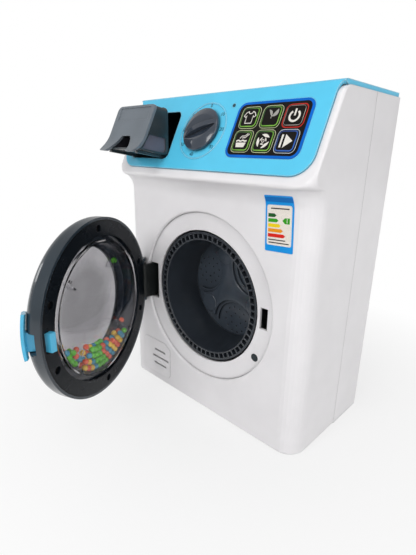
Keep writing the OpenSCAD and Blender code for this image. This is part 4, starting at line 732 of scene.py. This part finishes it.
def addDial(plan):
    knob = addSurface("knob_cap", [knobCap(knobPlan)], finishes["knobSlate"], "dial")
    smooth(knob, knobPlan["sharpFrom"])
    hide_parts("knob")
    smooth(addSurface("dial_ring", [dialRing(plan)], finishes["panelBlue"], "cabinet"))
    dialInk = ink("dialInk", plan["colour"])
    for text, angle, r in plan["numbers"]:
        spot = arc(plan["centre"], r, angle, angle, 1)[0]
        addNumber("dial_number_" + text, text, plan["numberSize"], spot, plan["numberLow"],
                  plan["numberHigh"], onPanel, dialInk, "cabinet")


addDial(dialPlan)
print("stage: dial")

# Label

labelPlan = dict(corner=(66.9, 169.1), lean=2.8, size=(24.0, 41.2), front=-58.5, thick=0.25, cornerR=1.0,
                 flareR=16.7, hoodZ=200.73,
                 field=(1.5, 22.5, 4.7, 33.8), fieldR=1.5, fieldColour=(240, 232, 222),
                 stripes=dict(count=3, first=36.8, pitch=1.2, width=1.5, inset=0.3, colour=(0, 112, 194)),
                 barLeft=2.5, tip=1.7, barHeight=2.6, fieldPrint=(0.04, 0.03), barPrint=(0.02, 0.07),
                 bars=[(26.4, 7.1, (10, 84, 22)), (22.75, 8.9, (44, 158, 8)), (19.1, 10.9, (246, 212, 8)),
                       (15.55, 12.9, (240, 152, 10)), (11.9, 14.9, (222, 28, 8))],
                 tag=(14.7, 16.8, 20.8, 20.8, 25.0), tagColour=(44, 158, 8), numberSize=4.4, numberHigh=0.12,
                 numberShift=-0.2, ruleColour=(52, 46, 44),
                 rules=[(4.7, 20.2, 31.3, 0.9), (2.7, 17.5, 8.7, 0.8), (3.2, 20.5, 6.6, 0.8)])


def onLabel(a, b, n):
    # a across and b up the label, turned by lean; b climbs to the flare, then runs round the flare's centre
    t = math.radians(labelPlan["lean"])
    x = labelPlan["corner"][0] + a * math.cos(t) - b * math.sin(t)
    up = labelPlan["corner"][1] + a * math.sin(t) + b * math.cos(t)
    turn = np.maximum(up - labelPlan["hoodZ"], 0) / labelPlan["flareR"]
    r = labelPlan["flareR"] - n
    y = labelPlan["front"] - labelPlan["flareR"] + r * np.cos(turn)
    return np.stack([x, y, np.minimum(up, labelPlan["hoodZ"]) + r * np.sin(turn)], -1) * mm


def labelSheet(plan):
    # rows up the label, drawn in at both ends by the corners' radius
    wide, tall = plan["size"]
    r = plan["cornerR"]
    end = np.linspace(0, r, 5)
    b = np.concatenate([end, np.linspace(1.5 * r, tall - 1.5 * r, 40), tall - end[::-1]])
    near = np.clip(r - np.minimum(b, tall - b), 0, r)
    drawn = r - np.sqrt(r * r - near ** 2)
    return slab(np.stack([drawn, b], 1), np.stack([wide - drawn, b], 1), 0.0, plan["thick"], onLabel)


def addPrint(name, shapes, colour, sink, proud, roughness=0.5):
    # shapes are pairs of edge curves; the print reaches from sink under the label's face to proud over it
    top = labelPlan["thick"]
    grids = [slab(left, right, top - sink, top + proud, onLabel) for left, right in shapes]
    first, *others = name.split("_")
    finish = ink(first + "".join(word.title() for word in others), colour, roughness)
    addSurface(name, grids, finish, "cabinet")


def arrowShape(tail, shoulder, tip, low, high):  # a bar that narrows to a point in the middle of its height
    x, middle = np.array([tail, shoulder, tip]), (low + high) / 2
    return np.stack([x, [low, low, middle]], 1), np.stack([x, [high, high, middle]], 1)


def addLabel(plan):
    thick = plan["thick"]
    sheet = addSurface("label_sheet", [labelSheet(plan)], finishes["labelBlue"], "cabinet")
    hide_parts("energy_label")
    left, right, low, high = plan["field"]
    near, far = roundedPlate(low, high, left, right, plan["fieldR"])
    addPrint("label_field", [(near[:, ::-1], far[:, ::-1])], plan["fieldColour"], *plan["fieldPrint"])
    band = plan["stripes"]
    rows = [band["first"] + band["pitch"] * k for k in range(band["count"])]
    ends = band["inset"], plan["size"][0] - band["inset"]
    stripes = [strokeSides([(ends[0], row), (ends[1], row)], band["width"]) for row in rows]
    addPrint("label_band", stripes, band["colour"], *plan["fieldPrint"], 0.45)
    for k, (row, length, colour) in enumerate(plan["bars"]):
        tip, half = plan["barLeft"] + length, plan["barHeight"] / 2
        bar = arrowShape(plan["barLeft"], tip - plan["tip"], tip, row - half, row + half)
        addPrint("label_bar_%d" % (k + 1), [bar], colour, *plan["barPrint"])
    tip, shoulder, right, low, high = plan["tag"]
    tag = arrowShape(right, shoulder, tip, low, high)
    addPrint("label_tag", [tag], plan["tagColour"], *plan["barPrint"])
    middle = (shoulder + right) / 2 + plan["numberShift"], (low + high) / 2
    addNumber("label_tag_number", "1", plan["numberSize"], middle, thick, thick + plan["numberHigh"],
              onLabel, inkWhite, "cabinet")
    rules = [strokeSides([(x0, row), (x1, row)], width) for x0, x1, row, width in plan["rules"]]
    addPrint("label_rules", rules, plan["ruleColour"], *plan["barPrint"])


addLabel(labelPlan)
print("stage: label")

# Drawer

drawerPlan = dict(origin=(-66.4, -62.833, 231.471), rise=9.0, out=29.3, x=(24.4, 24.8), z=(4.0, 16.8),
                  frontR=34.1, frontCentre=(-24.41, 25.83), rear=30.1)


def onSlide(y, z, x):  # the drawer's own frame: back along the runners, up, and across from its middle
    t = math.radians(drawerPlan["rise"])
    x0, y0, z0 = drawerPlan["origin"]
    y = y - drawerPlan["out"]
    return np.stack([x0 + x, y0 + y * math.cos(t) + z * math.sin(t),
                     z0 - y * math.sin(t) + z * math.cos(t)], -1) * mm


def drawerCheek(plan, side):
    # a flat wall from the front plate's curve, an arc of a circle, to the sloping rear edge
    z = np.linspace(plan["z"][0], plan["z"][1], 10)
    cy, cz = plan["frontCentre"]
    front = cy + np.sqrt(plan["frontR"] ** 2 - (z - cz) ** 2)
    rear = plan["rear"] - z * math.tan(math.radians(plan["rise"]))
    inner, outer = (side * x for x in plan["x"])
    return slab(np.stack([front, z], 1), np.stack([rear, z], 1), inner, outer, onSlide)


addSurface("drawer_cheeks", [drawerCheek(drawerPlan, side) for side in (-1, 1)], finishes["trayLining"],
           "drawer")
print("stage: drawer")

# Drum

# steps: radius of the lobes, radius of the rim and height above the drum's floor; boss: radius and height
starPlan = dict(centre=(0.0, 112.0), face=-15.1, lobes=(40, 160, 280), lobeAt=37.0,
                steps=[(22.0, 41.0, -0.2), (22.0, 41.0, 1.8), (22.3, 40.7, 2.1), (24.5, 38.6, 2.2),
                       (24.8, 38.3, 2.5), (25.0, 38.0, 5.0), (25.4, 37.6, 5.35), (26.0, 37.0, 5.45)],
                bossAt=33.0, boss=[(9.4, -0.2), (9.4, 5.6), (9.1, 5.95), (8.5, 6.1)], sharpFrom=40,
                lobeSteps=40, rimSteps=24, bossSteps=48)


def onDrumFloor(u, v, n):  # across, up and out of the drum's floor
    x0, z0 = starPlan["centre"]
    return np.stack([x0 + u, starPlan["face"] - n + 0 * u, z0 + v], -1) * mm


def starOutline(plan, lobeR, rim):
    # along each lobe's circle on the hub's side, then along the rim's circle to the next lobe
    # where the two circles cross, the law of cosines gives the angle at the hub and at the lobe's centre
    d, parts = plan["lobeAt"], []
    atHub = math.degrees(math.acos((d * d + rim * rim - lobeR * lobeR) / (2 * d * rim)))
    atLobe = math.degrees(math.acos((d * d + lobeR * lobeR - rim * rim) / (2 * d * lobeR)))
    for a in plan["lobes"]:
        centre = arc((0, 0), d, a, a, 1)[0]
        parts += [arc(centre, lobeR, a + 180 + atLobe, a + 180 - atLobe, plan["lobeSteps"]),
                  arc((0, 0), rim, a + atHub, a + 120 - atHub, plan["rimSteps"])[1:-1]]
    return np.concatenate(parts)


def addStar(plan):
    # the outlines stand over each other, and the first and the last are closed by one flat face
    outlines = [(starOutline(plan, lobeR, rim), height) for lobeR, rim, height in plan["steps"]]
    rings = [onDrumFloor(line[:, 0], line[:, 1], height) for line, height in outlines]
    cols, rows = len(rings[0]), len(rings)
    i, j = (part.ravel() for part in np.meshgrid(np.arange(rows - 1), np.arange(cols), indexing="ij"))
    nextJ = (j + 1) % cols
    walls = np.stack([i * cols + j, i * cols + nextJ, (i + 1) * cols + nextJ, (i + 1) * cols + j], 1)
    ends = [list(range(cols)), list(range((rows - 1) * cols, rows * cols))]
    mesh = bpy.data.meshes.new("drum_star")
    mesh.from_pydata(np.concatenate(rings).tolist(), [], walls.tolist() + ends)
    smooth(dress("drum_star", mesh, finishes["drumFloor"], "drum"), plan["sharpFrom"])


def addBosses(plan):  # one round boss near the end of each arm, half way between two lobes
    bosses, steps = [], plan["bossSteps"]
    for a in plan["lobes"]:
        middle = arc((0, 0), plan["bossAt"], a + 60, a + 60, 1)[0]
        circles = [(arc(middle, r, 0, 360 - 360 / steps, steps), height) for r, height in plan["boss"]]
        bosses.append((np.stack([onDrumFloor(c[:, 0], c[:, 1], height) for c, height in circles]), False))
    smooth(addSurface("drum_star_bosses", bosses, finishes["drumFloor"], "drum"),
           plan["sharpFrom"])


addStar(starPlan)
addBosses(starPlan)
print("stage: drum")

# Floor, light and camera. Places and powers of the lamps are in metres and watts.

floorPlan = dict(size=6.0, colour=(228, 228, 228), roughness=0.9, specular=0.1, fadeFrom=0.1, fadeTo=0.34,
                 keep=0.3)
worldPlan = dict(light=0.4, shown=1.0, glossy=0.6)
lamps = {
    "keyLight": dict(place=(0.05, -0.72, 0.5), size=0.35, power=1.8),
    "topLight": dict(place=(0.3, -0.6, 1.3), size=0.6, power=2.2),
    "fillLight": dict(place=(1.15, -0.35, 0.6), size=0.8, power=4.4),
    "lowLight": dict(place=(0.3, -1.1, 0.3), size=0.4, power=0.2),
    "sideLight": dict(place=(-1.1, -0.7, 0.5), size=0.3, power=0.9),
}
lampAim = (0, 0, 0.12)
cameraAim = dict(target=(0.0083, -0.0585, 0.1336), distance=0.3461, azimuth=43.9, elevation=17.93,
                 roll=1.0, lens=25.77, sensor=36, near=0.01)


def addFloor(plan):
    # one square face; to the camera, and in reflections, it fades into the white background
    h = plan["size"] / 2
    mesh = bpy.data.meshes.new("floor")
    mesh.from_pydata([(-h, -h, 0), (h, -h, 0), (h, h, 0), (-h, h, 0)], [], [(0, 1, 2, 3)])
    floor = bpy.data.objects.new("floor", mesh)
    scene.collection.objects.link(floor)
    material, tree, shader, where = newMaterial("floorPaper")
    shader.inputs["Base Color"].default_value = linear(plan["colour"])
    shader.inputs["Roughness"].default_value = plan["roughness"]
    shader.inputs["Specular IOR Level"].default_value = plan["specular"]
    glow = addNode(tree, "ShaderNodeEmission", {"Color": (1, 1, 1, 1), "Strength": 1.0}).outputs["Emission"]
    away = vectorMath(tree, "LENGTH", where, result="Value")
    share = ranged(tree, away, plan["fadeFrom"], plan["fadeTo"], 1 - plan["keep"], 1)
    ray = addNode(tree, "ShaderNodeLightPath").outputs
    seen = numberMath(tree, "MAXIMUM", ray["Is Camera Ray"], ray["Is Transmission Ray"])
    seen = numberMath(tree, "MAXIMUM", seen, ray["Is Glossy Ray"])
    factor = numberMath(tree, "MULTIPLY", share, seen)
    blend = addNode(tree, "ShaderNodeMixShader", {0: factor, 1: shader.outputs["BSDF"], 2: glow})
    tree.links.new(blend.outputs["Shader"], tree.nodes["Material Output"].inputs["Surface"])
    mesh.materials.append(material)


def addWorld(plan):
    # plain light for the object, white for the camera and through clear plastic, a little less in reflections
    world = bpy.data.worlds.new("studio")
    scene.world = world
    world.use_nodes = True
    tree = world.node_tree
    tree.nodes["Background"].inputs["Color"].default_value = (1, 1, 1, 1)
    ray = addNode(tree, "ShaderNodeLightPath").outputs
    direct = numberMath(tree, "MAXIMUM", ray["Is Camera Ray"], ray["Is Transmission Ray"])
    shown = ranged(tree, direct, 0, 1, plan["light"], plan["shown"])
    glossy = ranged(tree, ray["Is Glossy Ray"], 0, 1, 0, plan["glossy"])
    tree.links.new(numberMath(tree, "MAXIMUM", shown, glossy), tree.nodes["Background"].inputs["Strength"])


def addLamp(name, look):
    light = bpy.data.lights.new(name, "AREA")
    light.shape = "DISK"
    light.size = look["size"]
    light.energy = look["power"]
    holder = bpy.data.objects.new(name, light)
    scene.collection.objects.link(holder)
    holder.location = look["place"]
    holder.rotation_euler = (Vector(lampAim) - Vector(look["place"])).to_track_quat("-Z", "Y").to_euler()


def addCamera(aim):
    a, e = math.radians(aim["azimuth"]), math.radians(aim["elevation"])
    back = Vector((math.sin(a) * math.cos(e), -math.cos(a) * math.cos(e), math.sin(e)))
    camera = bpy.data.objects.new("camera", bpy.data.cameras.new("camera"))
    scene.collection.objects.link(camera)
    camera.location = Vector(aim["target"]) + back * aim["distance"]
    turn = (-back).to_track_quat("-Z", "Y").to_matrix() @ Matrix.Rotation(math.radians(aim["roll"]), 3, "Z")
    camera.rotation_euler = turn.to_euler()
    camera.data.lens = aim["lens"]
    camera.data.sensor_width = aim["sensor"]
    camera.data.clip_start = aim["near"]
    scene.camera = camera


addFloor(floorPlan)
addWorld(worldPlan)
for name, look in lamps.items():
    addLamp(name, look)
addCamera(cameraAim)
print("stage: floor, light and camera")
